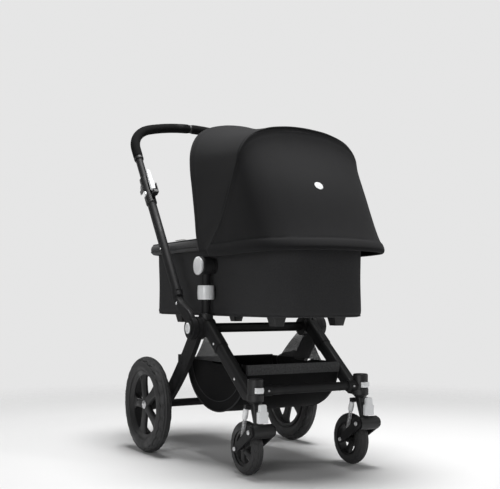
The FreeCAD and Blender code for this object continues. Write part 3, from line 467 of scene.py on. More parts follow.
def netting(name, shade):
    """Open net: round holes in rows, shown by the shader's own transparency."""
    if name in bpy.data.materials:
        return bpy.data.materials[name]
    material, tree, shader = start_material(name)
    place = add(tree, "ShaderNodeUVMap", uv_map="Metric")
    holes = add(tree, "ShaderNodeTexVoronoi", {"Vector": place.outputs[0]}, in_Scale=260.0,
                in_Randomness=0.12)
    mask = add(tree, "ShaderNodeMapRange", {"Value": holes.outputs["Distance"]})
    mask.inputs["From Min"].default_value, mask.inputs["From Max"].default_value = 0.30, 0.38
    mask.inputs["To Min"].default_value = 0.25
    tree.links.new(mask.outputs[0], shader.inputs["Alpha"])
    drift = add(tree, "ShaderNodeTexNoise", {"Vector": place.outputs[0]}, in_Scale=30.0)
    tint = mix(tree, drift.outputs["Fac"], (*(0.8 * part for part in shade), 1),
               (*(1.3 * part for part in shade), 1))
    tree.links.new(tint, shader.inputs["Base Color"])
    shader.inputs["Roughness"].default_value = 0.8
    return material


def finish_of(key):
    """The material for one of the stroller's finishes, made the first time it is wanted."""
    shades = bpy.context.scene.stroller_colours
    threads = 1 / bpy.context.scene.stroller_sizes.weave_pitch
    if key == "paint":
        return grained("satin_black_paint", shades.paint, 0.56, 700, 0.25, 0.5, 0.12,
                       Specular_IOR_Level=0.22)
    if key == "plastic":
        return grained("moulded_black_plastic", shades.plastic, 0.50, 1300, 0.25, 0.6, 0.30)
    if key == "rim_plastic":
        return grained("wheel_black_plastic", shades.plastic, 0.56, 900, 0.3, 0.8, 0.22)
    if key == "white":
        return grained("gloss_white_plastic", shades.white, 0.26, 500, 0.05, 0.0, 0.05,
                       Coat_Weight=0.4, Coat_Roughness=0.12)
    if key == "rubber":
        return grained("tread_rubber", shades.rubber, 0.68, 900, 0.3, 0.5, 0.35)
    if key == "foam":
        return grained("dense_foam", shades.foam, 0.90, 1700, 0.3, 0.7, 0.6,
                       Specular_IOR_Level=0.12)
    if key == "metal":
        return grained("polished_metal", shades.metal, 0.34, 1500, 0.08, 0.0, 0.06, Metallic=0.55)
    if key == "canopy":
        return woven("canopy_weave", shades.canopy, threads, 0.35, 0.35, 0.03, 0.12)
    if key == "tub":
        return woven("carrycot_cloth", shades.tub, threads, 0.45, 0.40)
    if key == "basket":
        return woven("basket_cloth", shades.basket, threads * 0.7, 0.5, 0.5)
    if key == "rim":
        return woven("brushed_weave", shades.rim, threads * 0.8, 1.1, 0.55, 0.08)
    if key == "binding":
        return woven("binding_tape", shades.tub, threads * 0.6, 0.5, 0.7)
    if key == "lining":
        return woven("pale_lining", shades.lining, threads * 1.2, 0.10, 0.25)
    if key == "net":
        return netting("black_net", shades.tub)
    raise RuntimeError("no finish is called " + key)


# ---------------------------------------------------------------- lines of the canopy
ARCH = ((196, -50, 622), (199, -101, 668), (200, -144, 712), (201, -196, 790), (198, -228, 852),
        (188, -236, 896), (158, -235, 932), (104, -229, 955), (50, -223, 965), (0, -221, 968))
MOUTH = ((188, 20, 622), (184, 46, 668), (182, 61, 730), (181, 80, 810), (180, 97, 878),
         (173, 108, 934), (150, 116, 980), (110, 119, 1009), (55, 120, 1024), (0, 119, 1028))
HEM = ((198, -56, 612), (200, -120, 610), (202, -190, 610), (202, -260, 611), (198, -328, 612),
       (184, -384, 613), (149, -422, 614), (102, -442, 615), (50, -450, 616), (0, -452, 616))


def whole_edge(rows):
    """A smooth line right across the canopy from the rows of its left half."""
    half = [hub(*row) for row in rows]
    return smooth_line(half + [Vector((-p.x, p.y, p.z)) for p in reversed(half[:-1])], 8)


def front_point(arch, hem, share):
    """A point of the front sheet, a share of the way up from the hem to the arch."""
    reach = (1 - share) ** 1.35
    return Vector((arch.x + (hem.x - arch.x) * reach, arch.y + (hem.y - arch.y) * reach,
                   hem.z + (arch.z - hem.z) * share))


def normals_of(rows):
    """A unit normal at each point of a grid of rows, pointing away from the canopy's middle."""
    centre = hub(0, -60, 700)
    answer = []
    for j, row in enumerate(rows):
        line = []
        for i, point in enumerate(row):
            along = row[min(i + 1, len(row) - 1)] - row[max(i - 1, 0)]
            up = rows[min(j + 1, len(rows) - 1)][i] - rows[max(j - 1, 0)][i]
            normal = along.cross(up).normalized()
            line.append(-normal if normal.dot(point - centre) < 0 else normal)
        answer.append(line)
    return answer


def pushed(rows, amount):
    """The same grid with each point moved along its normal by amount(row, column, point)."""
    normals = normals_of(rows)
    return [[point + normal * amount(j, i, point) for i, (point, normal)
             in enumerate(zip(row, line))] for j, (row, line) in enumerate(zip(rows, normals))]


# ---------------------------------------------------------------- operators
class STROLLER_OT_frame_finish(bpy.types.Operator):
    """Give each carried-over part of the frame its paint, plastic or metal"""

    bl_idname = "stroller.frame_finish"
    bl_label = "Frame Finishes"

    def execute(self, context):
        slots = {"frame_paint": "paint", "black_plastic": "plastic", "white_plastic": "white",
                 "tyre_rubber": "rubber", "bright_metal": "metal", "grip_foam": "foam",
                 "canopy_cloth": "canopy", "cot_cloth": "tub", "rim_cloth": "rim",
                 "mattress_cloth": "lining"}
        for row in frame["record"]["subparts"]:
            node = frame["nodes"][row["node"]]
            node.data.materials.clear()
            node.data.materials.append(finish_of(slots[row["material_slot"]]))
        return {"FINISHED"}


def tyre_rows(centre, radius, section, seat, lugs, depth):
    """Rings of a tyre from bead to bead, with shoulder blocks and a scalloped edge."""
    middle = radius - section
    bead = math.acos((seat - middle) / section)
    columns, steps = 56, lugs * 14
    rows = []
    for column in range(columns + 1):
        lean = -bead + 2 * bead * column / columns
        ring = []
        for step in range(steps):
            turn = math.tau * step / steps
            phase = turn * lugs + (math.pi if lean > 0 else 0)
            wave = abs(math.sin(phase / 2))
            edge = math.radians(50) + math.radians(13) * wave
            side = ease(edge - 0.07, edge + 0.07, abs(lean)) * (1 - ease(1.45, 1.75, abs(lean)))
            block = ease(0.30, 0.42, abs(lean)) * (1 - ease(0.60, 0.74, abs(lean)))
            slot = block * ease(0.80, 0.92, abs(math.cos(phase / 2)))
            groove = 1 - ease(0.05, 0.11, abs(abs(lean) - 0.22))
            line = 1 - ease(0.04, 0.11, abs(abs(lean) - edge))
            cut = depth * max(groove, slot, 0.6 * side, 2.2 * line)
            reach = middle + (section - cut) * math.cos(lean)
            out = (section - cut) * math.sin(lean)
            ring.append(centre + ALONG_X * out + (UP * math.cos(turn) + ALONG_Y * math.sin(turn))
                        * reach)
        rows.append(ring)
    return rows


class STROLLER_OT_tyres(bpy.types.Operator):
    """Make four tyres with grooved treads and scalloped shoulders"""

    bl_idname = "stroller.tyres"
    bl_label = "Tyres"

    def execute(self, context):
        depth = context.scene.stroller_sizes.tread_depth
        for name, _ in SIDES:
            for place, radius, section, seat, lugs in (("rear", 0.150, 0.024, 0.109, 25),
                                                       ("front", 0.074, 0.017, 0.049, 20)):
                low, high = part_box(f"{name}_{place}_tyre")
                blank = Blank()
                blank.grid(tyre_rows((low + high) / 2, radius, section, seat, lugs,
                                     depth * (1 if place == "rear" else 0.6)), around=True)
                blank.piece(f"{name}_{place}_treaded_tyre", f"{name}_{place}_wheel",
                            finish_of("rubber"), "tyre_rubber", [f"{name}_{place}_tyre"], sharp=60)
        return {"FINISHED"}


class STROLLER_OT_rims(bpy.types.Operator):
    """Make the moulded five-spoke rims with their hubs"""

    bl_idname = "stroller.rims"
    bl_label = "Rims"

    def execute(self, context):
        for name, side in SIDES:
            self.rim(name, side, "rear", 0.109, 0.016, 0.008, 0.0165, (0.030, 0.009))
            self.rim(name, side, "front", 0.049, 0.012, 0.004, 0.0105, (0.016, 0.016))
        return {"FINISHED"}

    def rim(self, name, side, place, seat, half, bore, hub_radius, hub_ends):
        joint = JOINTS[f"{name}_{place}_wheel_spin"]
        centre = Vector(joint["pos_m"])
        out = ALONG_X * side
        blank = Blank()
        bed = seat * 0.86
        deep = half * 1.3
        blank.lathe([(-half, seat), (-half, seat - 0.004), (-deep, seat - 0.006),
                     (-deep, bed), (half * 0.45, bed), (half - 0.002, seat - 0.007),
                     (half, seat - 0.004), (half, seat)], centre, out, steps=96, closed=True)
        inner, outer = hub_ends
        blank.lathe([(-inner, bore), (-inner, hub_radius - 0.001), (-inner + 0.002, hub_radius),
                     (-0.004, hub_radius * 1.15), (outer - 0.004, hub_radius * 1.05),
                     (outer - 0.001, hub_radius * 0.92), (outer, hub_radius * 0.75),
                     (outer, bore)], centre, out, steps=40, closed=True)
        for spoke in range(5):
            turn = math.tau * spoke / 5 + 0.3
            way = UP * math.cos(turn) + ALONG_Y * math.sin(turn)
            across = out.cross(way)
            sections = []
            for share, wide, thick, lift in ((0.0, 0.80, 0.34, 0.34), (0.18, 0.76, 0.32, 0.36),
                                             (0.40, 0.72, 0.30, 0.34), (0.65, 0.78, 0.28, 0.22),
                                             (0.85, 0.95, 0.28, 0.10), (1.0, 1.55, 0.28, 0.04)):
                radius = hub_radius * 0.7 + (bed + 0.001 - hub_radius * 0.7) * share
                sections.append((centre + way * radius + out * (outer * lift), across, out,
                                 wide * hub_radius * 1.2, thick * half + 0.0030, 3.2))
            blank.loft(sections)
        blank.piece(f"{name}_{place}_spoked_rim", f"{name}_{place}_wheel",
                    finish_of("rim_plastic"), "black_plastic", [f"{name}_{place}_rim"])


class STROLLER_OT_hardware(bpy.types.Operator):
    """Add the bolt heads, pivot caps and end caps that show as bright points"""

    bl_idname = "stroller.hardware"
    bl_label = "Bolts and Caps"

    def execute(self, context):
        for name, side in SIDES:
            joint = JOINTS[f"{name}_suspension"]
            pivot = Vector(joint["pos_m"])
            axle = Vector(JOINTS[f"{name}_front_wheel_spin"]["pos_m"])
            blank = Blank()
            for spot, radius in ((pivot, 0.0062), (axle, 0.0058)):
                for hand in (-1, 1):
                    base = spot + ALONG_X * hand * 0.0402
                    self.bolt(blank, base, ALONG_X * hand, radius)
            blank.piece(f"{name}_swing_bolts", f"{name}_swing_arm", finish_of("metal"),
                        "bright_metal")
            blank = Blank()
            centre = Vector(JOINTS[f"{name}_rear_wheel_spin"]["pos_m"]) + ALONG_X * side * 0.009
            blank.lathe([(0, 0.0132), (0.003, 0.0132), (0.005, 0.0118), (0.0055, 0.0080),
                         (0.0072, 0.0072), (0.0080, 0.0050), (0.0062, 0.0042), (0.0062, 0.0)],
                        centre, ALONG_X * side, steps=36)
            blank.piece(f"{name}_axle_nut", f"{name}_rear_wheel", finish_of("metal"),
                        "bright_metal", [f"{name}_rear_cap"])
            blank = Blank()
            spot = arm(side * 247.2, 516, 2)
            blank.lathe([(-0.003, 0.0105), (0.0006, 0.0105), (0.0016, 0.0094), (0.0020, 0.0)], spot,
                        ALONG_X * side, steps=32)
            blank.piece(f"{name}_clamp_dot", "handle", finish_of("white"), "white_plastic")
            blank = Blank()
            self.bolt(blank, arm(side * 243, 96, 0), ALONG_X * side, 0.0034)
            self.bolt(blank, arm(side * 244.4, 300, 0), ALONG_X * side, 0.0020)
            blank.piece(f"{name}_arm_rivets", "handle", finish_of("metal"), "bright_metal")
            blank = Blank()
            self.bolt(blank, hub(side * 141, -305, 233) + UP * 0, -ALONG_Y, 0.0030)
            blank.piece(f"{name}_collar_bolt", "chassis", finish_of("metal"), "bright_metal")
        return {"FINISHED"}

    def bolt(self, blank, base, way, radius):
        blank.lathe([(-0.001, radius), (0.0008, radius), (0.0020, radius * 0.86),
                     (0.0027, radius * 0.5), (0.0016, radius * 0.42), (0.0016, 0.0)],
                    base, way, steps=24)


class STROLLER_OT_springs(bpy.types.Operator):
    """Make the coil springs of the casters and their white sleeves"""

    bl_idname = "stroller.springs"
    bl_label = "Springs"

    def execute(self, context):
        for name, _ in SIDES:
            swivel = Vector(JOINTS[f"{name}_caster_swivel"]["pos_m"])
            axle = Vector(JOINTS[f"{name}_front_wheel_spin"]["pos_m"])
            coils, sleeves = Blank(), Blank()
            for hand in (-1, 1):
                top = Vector((swivel.x + hand * 0.024, swivel.y + 0.008, 0.184))
                foot = axle + Vector((hand * 0.024, -0.017, 0.031))
                way = (foot - top).normalized()
                side_way = way.orthogonal().normalized()
                other = way.cross(side_way)
                reach = (foot - top).length
                turns = round(reach / 0.0046)
                line = []
                for step in range(turns * 14 + 1):
                    turn = math.tau * step / 14
                    share = step / (turns * 14)
                    line.append(top + way * (0.0014 + (reach - 0.0028) * share)
                                + (side_way * math.cos(turn) + other * math.sin(turn)) * 0.0046)
                coils.pipe(line, 0.0012, sides=8)
                sleeves.lathe([(-0.002, 0.0050), (0.0, 0.0072), (0.010, 0.0080), (0.022, 0.0074),
                               (0.026, 0.0062), (0.026, 0.0052)], top, way, steps=24)
            coil = coils.piece(f"{name}_coil_springs", f"{name}_caster", finish_of("metal"),
                               "bright_metal", [f"{name}_caster_springs"])
            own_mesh(coil)
            sleeves.piece(f"{name}_spring_sleeves", f"{name}_caster", finish_of("white"),
                          "white_plastic")
        return {"FINISHED"}


class STROLLER_OT_levers(bpy.types.Operator):
    """Make the white catches, lock tabs, clamp levers and brake lever"""

    bl_idname = "stroller.levers"
    bl_label = "Levers and Catches"

    def execute(self, context):
        white = finish_of("white")
        for name, side in SIDES:
            low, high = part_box(f"{name}_wheel_catch")
            centre = (low + high) / 2
            blank = Blank()
            sections = []
            for rise, half in ((0, 14.6), (1.5, 16), (26, 16), (29.5, 15.2), (31, 11.5), (45, 11),
                               (48.6, 9.6), (50, 7)):
                sections.append((Vector((centre.x, centre.y, low.z + rise * MM)), ALONG_X, ALONG_Y,
                                 half * MM, min(6.5, half * 0.62) * MM, 5))
            blank.loft(sections)
            blank.piece(f"{name}_catch_button", f"{name}_wheel_catch", white, "white_plastic",
                        [f"{name}_wheel_catch"])
            swivel = Vector(JOINTS[f"{name}_caster_swivel"]["pos_m"])
            low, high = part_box(f"{name}_swivel_lock")
            blank = Blank()
            rows = []
            for step in range(25):
                turn = math.radians(-90 - 33 + 66 * step / 24)
                way = Vector((math.cos(turn), math.sin(turn), 0))
                thick = 0.0012 + 0.0036 * (1 - abs(step / 12 - 1) ** 6)
                base = Vector((swivel.x, swivel.y, 0))
                ring = [base + way * 0.0234 + UP * (low.z + 0.0005),
                        base + way * (0.0232 + thick) + UP * (low.z + 0.0012),
                        base + way * (0.0244 + thick) + UP * (low.z + 0.006),
                        base + way * (0.0244 + thick) + UP * (high.z - 0.006),
                        base + way * (0.0232 + thick) + UP * (high.z - 0.0012),
                        base + way * 0.0234 + UP * (high.z - 0.0005)]
                rows.append(ring)
            blank.grid(rows, around=True, caps=True)
            blank.piece(f"{name}_lock_tab", f"{name}_swivel_lock", white, "white_plastic",
                        [f"{name}_swivel_lock"])
            blank = Blank()
            blank.loft([(arm(side * 230, 547 + rise, -30), ALONG_X, ARM_FORWARD, half * MM,
                         thick * MM, 2.6)
                        for rise, half, thick in ((0.3, 5.2, 2.4), (3, 7.4, 3.4), (14, 9, 4),
                                                  (24, 8.2, 3.9), (34, 4.8, 3.0),
                                                  (37.7, 2.2, 1.6))])
            blank.piece(f"{name}_height_lever", f"{name}_clamp_lever", white, "white_plastic",
                        [f"{name}_clamp_lever"])
        blank = Blank()
        blank.loft([(arm(-226, 515.7 + rise, 29), ALONG_X, ARM_FORWARD, half * MM, thick * MM, 2.6)
                    for rise, half, thick in ((0, 6.0, 5.0), (2, 8.2, 7.0), (34, 8.4, 7.2),
                                              (62, 7.4, 6.2), (76, 6.4, 5.0), (82, 4.6, 3.6),
                                              (84, 2.2, 1.8))])
        blank.piece("brake_hand_lever", "brake_lever", white, "white_plastic", ["brake_lever"])
        return {"FINISHED"}


class STROLLER_OT_grips(bpy.types.Operator):
    """Make the two foam grips with their end rings, and the joint between them"""

    bl_idname = "stroller.grips"
    bl_label = "Handle Grips"

    def execute(self, context):
        radius = context.scene.stroller_sizes.grip_radius
        half, corner, crown, reach = 230, 100, 550, 834
        crown_centre = reach - crown
        rise = math.sqrt((crown - corner) ** 2 - (half - corner) ** 2)
        corner_centre = crown_centre + rise
        meet = math.atan2(half - corner, rise)
        blank = Blank()
        for side in (-1, 1):
            line = [arm(side * half, 676 + (corner_centre - 676) * step / 10) for step in range(10)]
            quarter = math.pi / 2 - meet
            for step in range(25):
                turn = quarter * step / 24
                line.append(arm(side * (half - corner + corner * math.cos(turn)),
                                corner_centre + corner * math.sin(turn)))
            slim = math.asin(3.5 / crown)
            for step in range(1, 31):
                turn = meet + (slim - meet) * step / 30
                line.append(arm(side * crown * math.sin(turn),
                                crown_centre + crown * math.cos(turn)))
            radii = []
            for index, point in enumerate(line):
                ends = min(index, len(line) - 1 - index)
                shrink = (0.0022, 0.0004, 0.0)[min(ends, 2)]
                ripple = 0.0003 * noise.noise(point * 60)
                radii.append(radius - shrink - abs(ripple))
            blank.pipe(line, radii, sides=32)
        blank.piece("foam_grips", "handle_top", finish_of("foam"), "grip_foam", ["handle_grips"],
                    sharp=50)
        blank = Blank()
        blank.lathe([(-0.0034, 0.0122), (-0.0034, 0.0142), (0.0034, 0.0142), (0.0034, 0.0122)],
                    arm(0, reach), ALONG_X, steps=40, closed=True)
        blank.piece("grip_joint", "handle_top", finish_of("plastic"), "black_plastic")
        blank = Blank()
        for side in (-1, 1):
            blank.lathe([(-0.004, 0.0123), (-0.004, 0.0150), (0.0, 0.0158), (0.005, 0.0158),
                         (0.006, 0.0150), (0.006, 0.0123)], arm(side * half, 670), ARM_WAY,
                        steps=40, closed=True)
        blank.piece("grip_end_rings", "handle_top", finish_of("plastic"), "black_plastic")
        return {"FINISHED"}


class STROLLER_OT_tub(bpy.types.Operator):
    """Make the cloth-covered carrycot tub with its lining and seams"""

    bl_idname = "stroller.tub"
    bl_label = "Carrycot Tub"

    def execute(self, context):
        folds = context.scene.stroller_sizes.fold_depth
        blank = Blank()
        centre = hub(0, 45, 500)

        def slack(point, depth):
            return depth * (noise.noise(Vector((point.x * 9, point.y * 7, point.z * 5 + 3)))
                            + 0.5 * noise.noise(Vector((point.x * 26, point.y * 22, point.z * 9))))

        low, seam_height, top = 430, 617, 640
        keel = [Vector((centre.x, spot.y, spot.z)).lerp(spot, 0.02) for spot in plan(-60, low)]
        rings = [(keel, low), (plan(-90, low), low)]
        rings += [(plan(grow, height), height) for grow, height in (
            (-60, low), (-30, low), (-11, 430.2), (-7.5, 431.0), (-4.2, 433.0), (-1.8, 436.2),
            (-0.5, 440), (0, 444), (0, 450))]
        for step in range(1, 27):
            height = 450 + (top - 450) * step / 26
            rings.append((plan(0, height), height))
        rows = []
        for ring, height in rings:
            row = []
            for point in ring:
                away = Vector((point.x - centre.x, 0.35 * (point.y - centre.y), 0)).normalized()
                seam = 0.0009 * (1 - ease(0, 1.4, abs(height - seam_height)))
                belly = -0.0012 - 0.0010 * math.sin(math.pi * ease(445, 620, height))
                move = (belly + slack(point, folds) - seam) if height > 445 else -0.0008
                row.append(point + away * move)
            rows.append(row)
        blank.grid(rows, around=True)
        inside = [plan(-7, top - (top - 470) * step / 10) for step in range(11)]
        inside += [plan(grow, height) for grow, height in ((-8, 458), (-12, 448), (-20, 442),
                                                           (-60, 441), (-90, 441))]
        blank.grid(inside, around=True, paint=1)
        blank.piece("carrycot_tub", "carrycot", [finish_of("tub"), finish_of("lining")],
                    "cot_cloth", ["carrycot_shell"], sharp=70)
        blank = Blank()
        blank.pipe(plan(-3.2, 433.6), 0.0016, sides=8, closed=True)
        blank.piece("tub_bottom_piping", "carrycot", finish_of("binding"), "cot_cloth")
        return {"FINISHED"}


class STROLLER_OT_rim(bpy.types.Operator):
    """Make the padded roll round the top of the carrycot"""

    bl_idname = "stroller.rim"
    bl_label = "Carrycot Rim"

    def execute(self, context):
        profile = ((-4.6, 630), (-4.9, 641), (-4.4, 652), (-2, 659), (3, 662), (9, 662.8),
                   (14.5, 662.4), (20, 660.5), (24, 656), (25.6, 649), (25.2, 641), (22.6, 634),
                   (17, 630.2), (9, 629.3), (2, 629.3))
        rows = []
        for grow, height in profile:
            ring = []
            for point in plan(grow, height, min(grow, 8) if grow > 0 else grow, 20, 46):
                gather = noise.noise(Vector((point.x * 24, point.y * 24, point.z * 8)))
                fine = noise.noise(Vector((point.x * 70, point.y * 70, point.z * 30)))
                pull = Vector((0, 0, 0.0008 * gather + 0.0004 * fine - 0.0008))
                ring.append(point + (pull if height > 655 else pull * 0.4))
            rows.append(ring)
        blank = Blank()
        blank.grid(rows, around=True, along=True)
        roll = blank.piece("rim_roll", "carrycot", finish_of("rim"), "rim_cloth",
                           ["carrycot_rim"], sharp=80)
        blank = Blank()
        blank.pipe(plan(25.4, 638, 7.6, 20, 46), 0.0011, sides=8, closed=True)
        blank.piece("rim_seam", "carrycot", finish_of("binding"), "rim_cloth")
        return {"FINISHED"}


class STROLLER_OT_mattress(bpy.types.Operator):
    """Make the mattress: a crowned pad, blown up as cloth where time allows"""

    bl_idname = "stroller.mattress"
    bl_label = "Mattress"

    def execute(self, context):
        blank = Blank()
        rows = [plan(grow, height, per_corner=8, per_side=10) for grow, height in
                ((-60, 438), (-30, 437.5), (-18, 439), (-13, 444), (-12, 450), (-13, 456),
                 (-18, 461), (-30, 463), (-60, 464))]
        blank.grid(rows, around=True, caps=True)
        pad = blank.piece("mattress_pad", "carrycot", finish_of("lining"), "mattress_cloth",
                          ["mattress"], sharp=80, ride=False)
        inflate(pad, 0.007, 0.006)
        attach(pad, "carrycot")
        return {"FINISHED"}


def inflate(thing, voxel, cap):
    """Blow a closed piece up as cloth, then hold every point within a cap of where it was."""
    scene = bpy.context.scene
    remesh = thing.modifiers.new("even", "REMESH")
    remesh.mode, remesh.voxel_size = "VOXEL", voxel
    apply_modifiers(thing)
    rest = [vertex.co.copy() for vertex in thing.data.vertices]
    cloth = thing.modifiers.new("pad", "CLOTH")
    settings = cloth.settings
    settings.quality, settings.mass = 6, 0.2
    settings.use_pressure, settings.uniform_pressure_force = True, 4
    settings.tension_stiffness = settings.compression_stiffness = 25
    settings.effector_weights.gravity = 0
    for step in range(1, 21):
        scene.frame_set(step)
    apply_modifiers(thing)
    scene.frame_set(1)
    for vertex, before in zip(thing.data.vertices, rest):
        move = vertex.co - before
        if move.length > cap:
            vertex.co = before + move.normalized() * cap
    for polygon in thing.data.polygons:
        polygon.use_smooth = True
    layer = thing.data.uv_layers.get("Metric") or thing.data.uv_layers.new(name="Metric")
    for loop in thing.data.loops:
        layer.data[loop.index].uv = thing.data.vertices[loop.vertex_index].co.to_2d()


def apply_modifiers(thing):
    """Replace a piece's mesh with what its modifiers make of it."""
    bpy.context.view_layer.update()
    seen = thing.evaluated_get(bpy.context.evaluated_depsgraph_get())
    mesh = bpy.data.meshes.new_from_object(seen)
    materials = list(thing.data.materials)
    thing.modifiers.clear()
    thing.data = mesh
    if not mesh.materials:
        for material in materials:
            mesh.materials.append(material)


class STROLLER_OT_apron(bpy.types.Operator):
    """Make the cover over the foot end, with its bound edge and turned-back lining"""

    bl_idname = "stroller.apron"
    bl_label = "Apron"

    def execute(self, context):
        folds = context.scene.stroller_sizes.fold_depth
        rows = []
        steps = 36
        for j in range(steps + 1):
            back = 86 + (501 - 86) * j / steps
            corner = max(0, back - (484 + 17 - 117))
            half = 167.5 - (117 - math.sqrt(max(0, 117 ** 2 - corner ** 2)))
            row = []
            for i in range(33):
                share = -1 + 2 * i / 32
                x = half * share
                drop = 2.8 * max(0, abs(share) - 0.86) / 0.14
                rise = math.sin(math.pi * min(1, (501 - back) / 240) / 2)
                crown = 5.4 * (1 - share ** 2) ** 0.6 * rise
                point = hub(x, back, 665.2 + crown - drop)
                ripple = noise.noise(Vector((point.x * 10, point.y * 14, 1.7)))
                row.append(point + UP * folds * 0.6 * ripple)
            rows.append(row)
        blank = Blank()
        blank.grid(rows)
        cover = thicken(blank.piece("apron_cover", "carrycot", finish_of("tub"), "cot_cloth",
                                    ["apron"], sharp=80), 0.0016)
        blank = Blank()
        edge = [row[0] for row in rows][::-1] + rows[0][1:-1] + [row[-1] for row in rows]
        blank.pipe(edge, 0.0022, sides=8)
        blank.piece("apron_binding", "carrycot", finish_of("binding"), "cot_cloth")
        blank = Blank()
        for side in (-1, 1):
            strip = []
            for step in range(17):
                back = 205 + 70 * step / 16
                lift = 1.6 * math.sin(math.pi * step / 16)
                strip.append([hub(side * (148 - 3 * lift + inner), back, 669.4 + lift + 0.1 * inner)
                              for inner in (-4, -1, 2)])
            blank.grid(strip)
        thicken(blank.piece("apron_lining_edge", "carrycot", finish_of("lining"),
                            "mattress_cloth"), 0.0010)
        return {"FINISHED"}


class STROLLER_OT_canopy_front(bpy.types.Operator):
    """Make the canopy's front sheet with its puffed hem, stitch lines and double piping"""

    bl_idname = "stroller.canopy_front"
    bl_label = "Canopy Front"

    def execute(self, context):
        sizes = context.scene.stroller_sizes
        arch, hem = whole_edge(ARCH), whole_edge(HEM)
        steps = 72
        rows = [[front_point(a, h, (j / steps) ** 1.15) for a, h in zip(arch, hem)]
                for j in range(steps + 1)]
        base = [row[:] for row in rows]
        middle = hub(0, -150, 0)

        def relief(j, i, point):
            above = (point - base[0][i]).length
            below_arch = (point - base[-1][i]).length
            puff = sizes.hem_puff * math.sin(math.pi * min(1, above / sizes.hem_width)) ** 0.6 \
                if 0 < above < sizes.hem_width else 0
            stitch = -0.0011 * (1 - ease(0.0006, 0.0030, abs(above - sizes.hem_width)))
            stitch -= 0.0009 * (1 - ease(0.0004, 0.0022, abs(below_arch - 0.016)))
            across = i / (len(arch) - 1)
            soft = noise.noise(Vector((across * 7, point.z * 6, 0.4)))
            pull = noise.noise(Vector((across * 26, point.z * 3, 5.1)))
            fade = ease(0.0, 0.06, above) * ease(0.0, 0.05, below_arch)
            sag = -0.0018 * math.sin(math.pi * min(1, above / 0.45)) * fade
            swell = math.sin(math.pi * across) ** 3
            crown = 0.019 * swell * math.sin(math.pi * ease(0, 0.42, above))
            folds = fade * sizes.fold_depth * (0.7 * soft + 0.35 * pull)
            return puff + stitch + folds + sag + crown

        blank = Blank()
        sheet = pushed(rows, relief)
        curl = []
        for inwards, drop in ((0.0105, 0.0035), (0.0080, 0.0058), (0.0045, 0.0064),
                              (0.0012, 0.0040)):
            curl.append([point + (middle - point).to_2d().normalized().to_3d() * inwards
                         - UP * drop for point in sheet[0]])
        blank.grid(curl + sheet)
        front = thicken(blank.piece("canopy_front_sheet", "carrycot", finish_of("canopy"),
                                    "canopy_cloth", ["canopy_front"], sharp=80),
                        sizes.cloth_thickness)
        blank = Blank()
        inner = [front_point(a, h, 0.965) for a, h in zip(arch, hem)]
        normals = normals_of(rows)[-1]
        blank.pipe([p + n * 0.0006 for p, n in zip(arch, normals)], sizes.piping_radius, sides=10)
        blank.pipe([p + n * 0.0002 for p, n in zip(inner, normals)], sizes.piping_radius * 0.6,
                   sides=8)
        blank.piece("arch_piping", "carrycot", finish_of("binding"), "canopy_cloth")
        return {"FINISHED"}


class STROLLER_OT_canopy_top(bpy.types.Operator):
    """Make the canopy's top sheet between the arch and the mouth"""

    bl_idname = "stroller.canopy_top"
    bl_label = "Canopy Top"

    def execute(self, context):
        sizes = context.scene.stroller_sizes
        arch, mouth = whole_edge(ARCH), whole_edge(MOUTH)
        steps = 40
        rows = []
        for j in range(steps + 1):
            share = j / steps
            row = []
            for a, m in zip(arch, mouth):
                start = a + ALONG_Y * 0.003
                dip = 0.02 * (a.z - 0.629) * math.sin(math.pi * share) * 1.15
                row.append(start.lerp(m, share) - UP * dip)
            rows.append(row)

        def relief(j, i, point):
            share = j / steps
            across = i / (len(arch) - 1)
            fade = math.sin(math.pi * share) ** 0.5 if 0 < share < 1 else 0
            fan = noise.noise(Vector((across * 11, share * 1.2, 8.3)))
            low = 1 - ease(0.66, 0.80, point.z)
            stitch = -0.0008 * (1 - ease(0.01, 0.035, abs(share - 0.90)))
            return fade * sizes.fold_depth * (0.8 * fan + 0.9 * low * fan) + stitch

        blank = Blank()
        blank.grid(pushed(rows, relief))
        top = thicken(blank.piece("canopy_top_sheet", "carrycot", finish_of("canopy"),
                                  "canopy_cloth", ["canopy_top"], sharp=80, ride=False),
                      sizes.cloth_thickness)
        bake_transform(top)
        blank = Blank()
        blank.pipe(mouth, sizes.piping_radius * 1.3, sides=10)
        blank.piece("mouth_piping", "canopy_mouth", finish_of("binding"), "canopy_cloth")
        return {"FINISHED"}


class STROLLER_OT_emblem(bpy.types.Operator):
    """Make the plain round stud on the front of the canopy"""

    bl_idname = "stroller.emblem"
    bl_label = "Canopy Stud"

    def execute(self, context):
        radius = context.scene.stroller_sizes.stud_radius
        arch, hem = hub(*ARCH[-1]), hub(*HEM[-1])
        share = (0.780 - hem.z) / (arch.z - hem.z)
        slope = front_point(arch, hem, share + 0.05) - front_point(arch, hem, share - 0.05)
        normal = slope.normalized().cross(ALONG_X).normalized()
        normal = normal if normal.y < 0 else -normal
        spot = front_point(arch, hem, share) + normal * 0.0165
        blank = Blank()
        blank.lathe([(-0.002, 0), (-0.002, radius), (0.0012, radius), (0.0022, radius * 0.94),
                     (0.0026, radius * 0.6), (0.0027, 0)], spot, normal, steps=64)
        blank.piece("canopy_stud", "carrycot", finish_of("white"), "white_plastic")
        return {"FINISHED"}


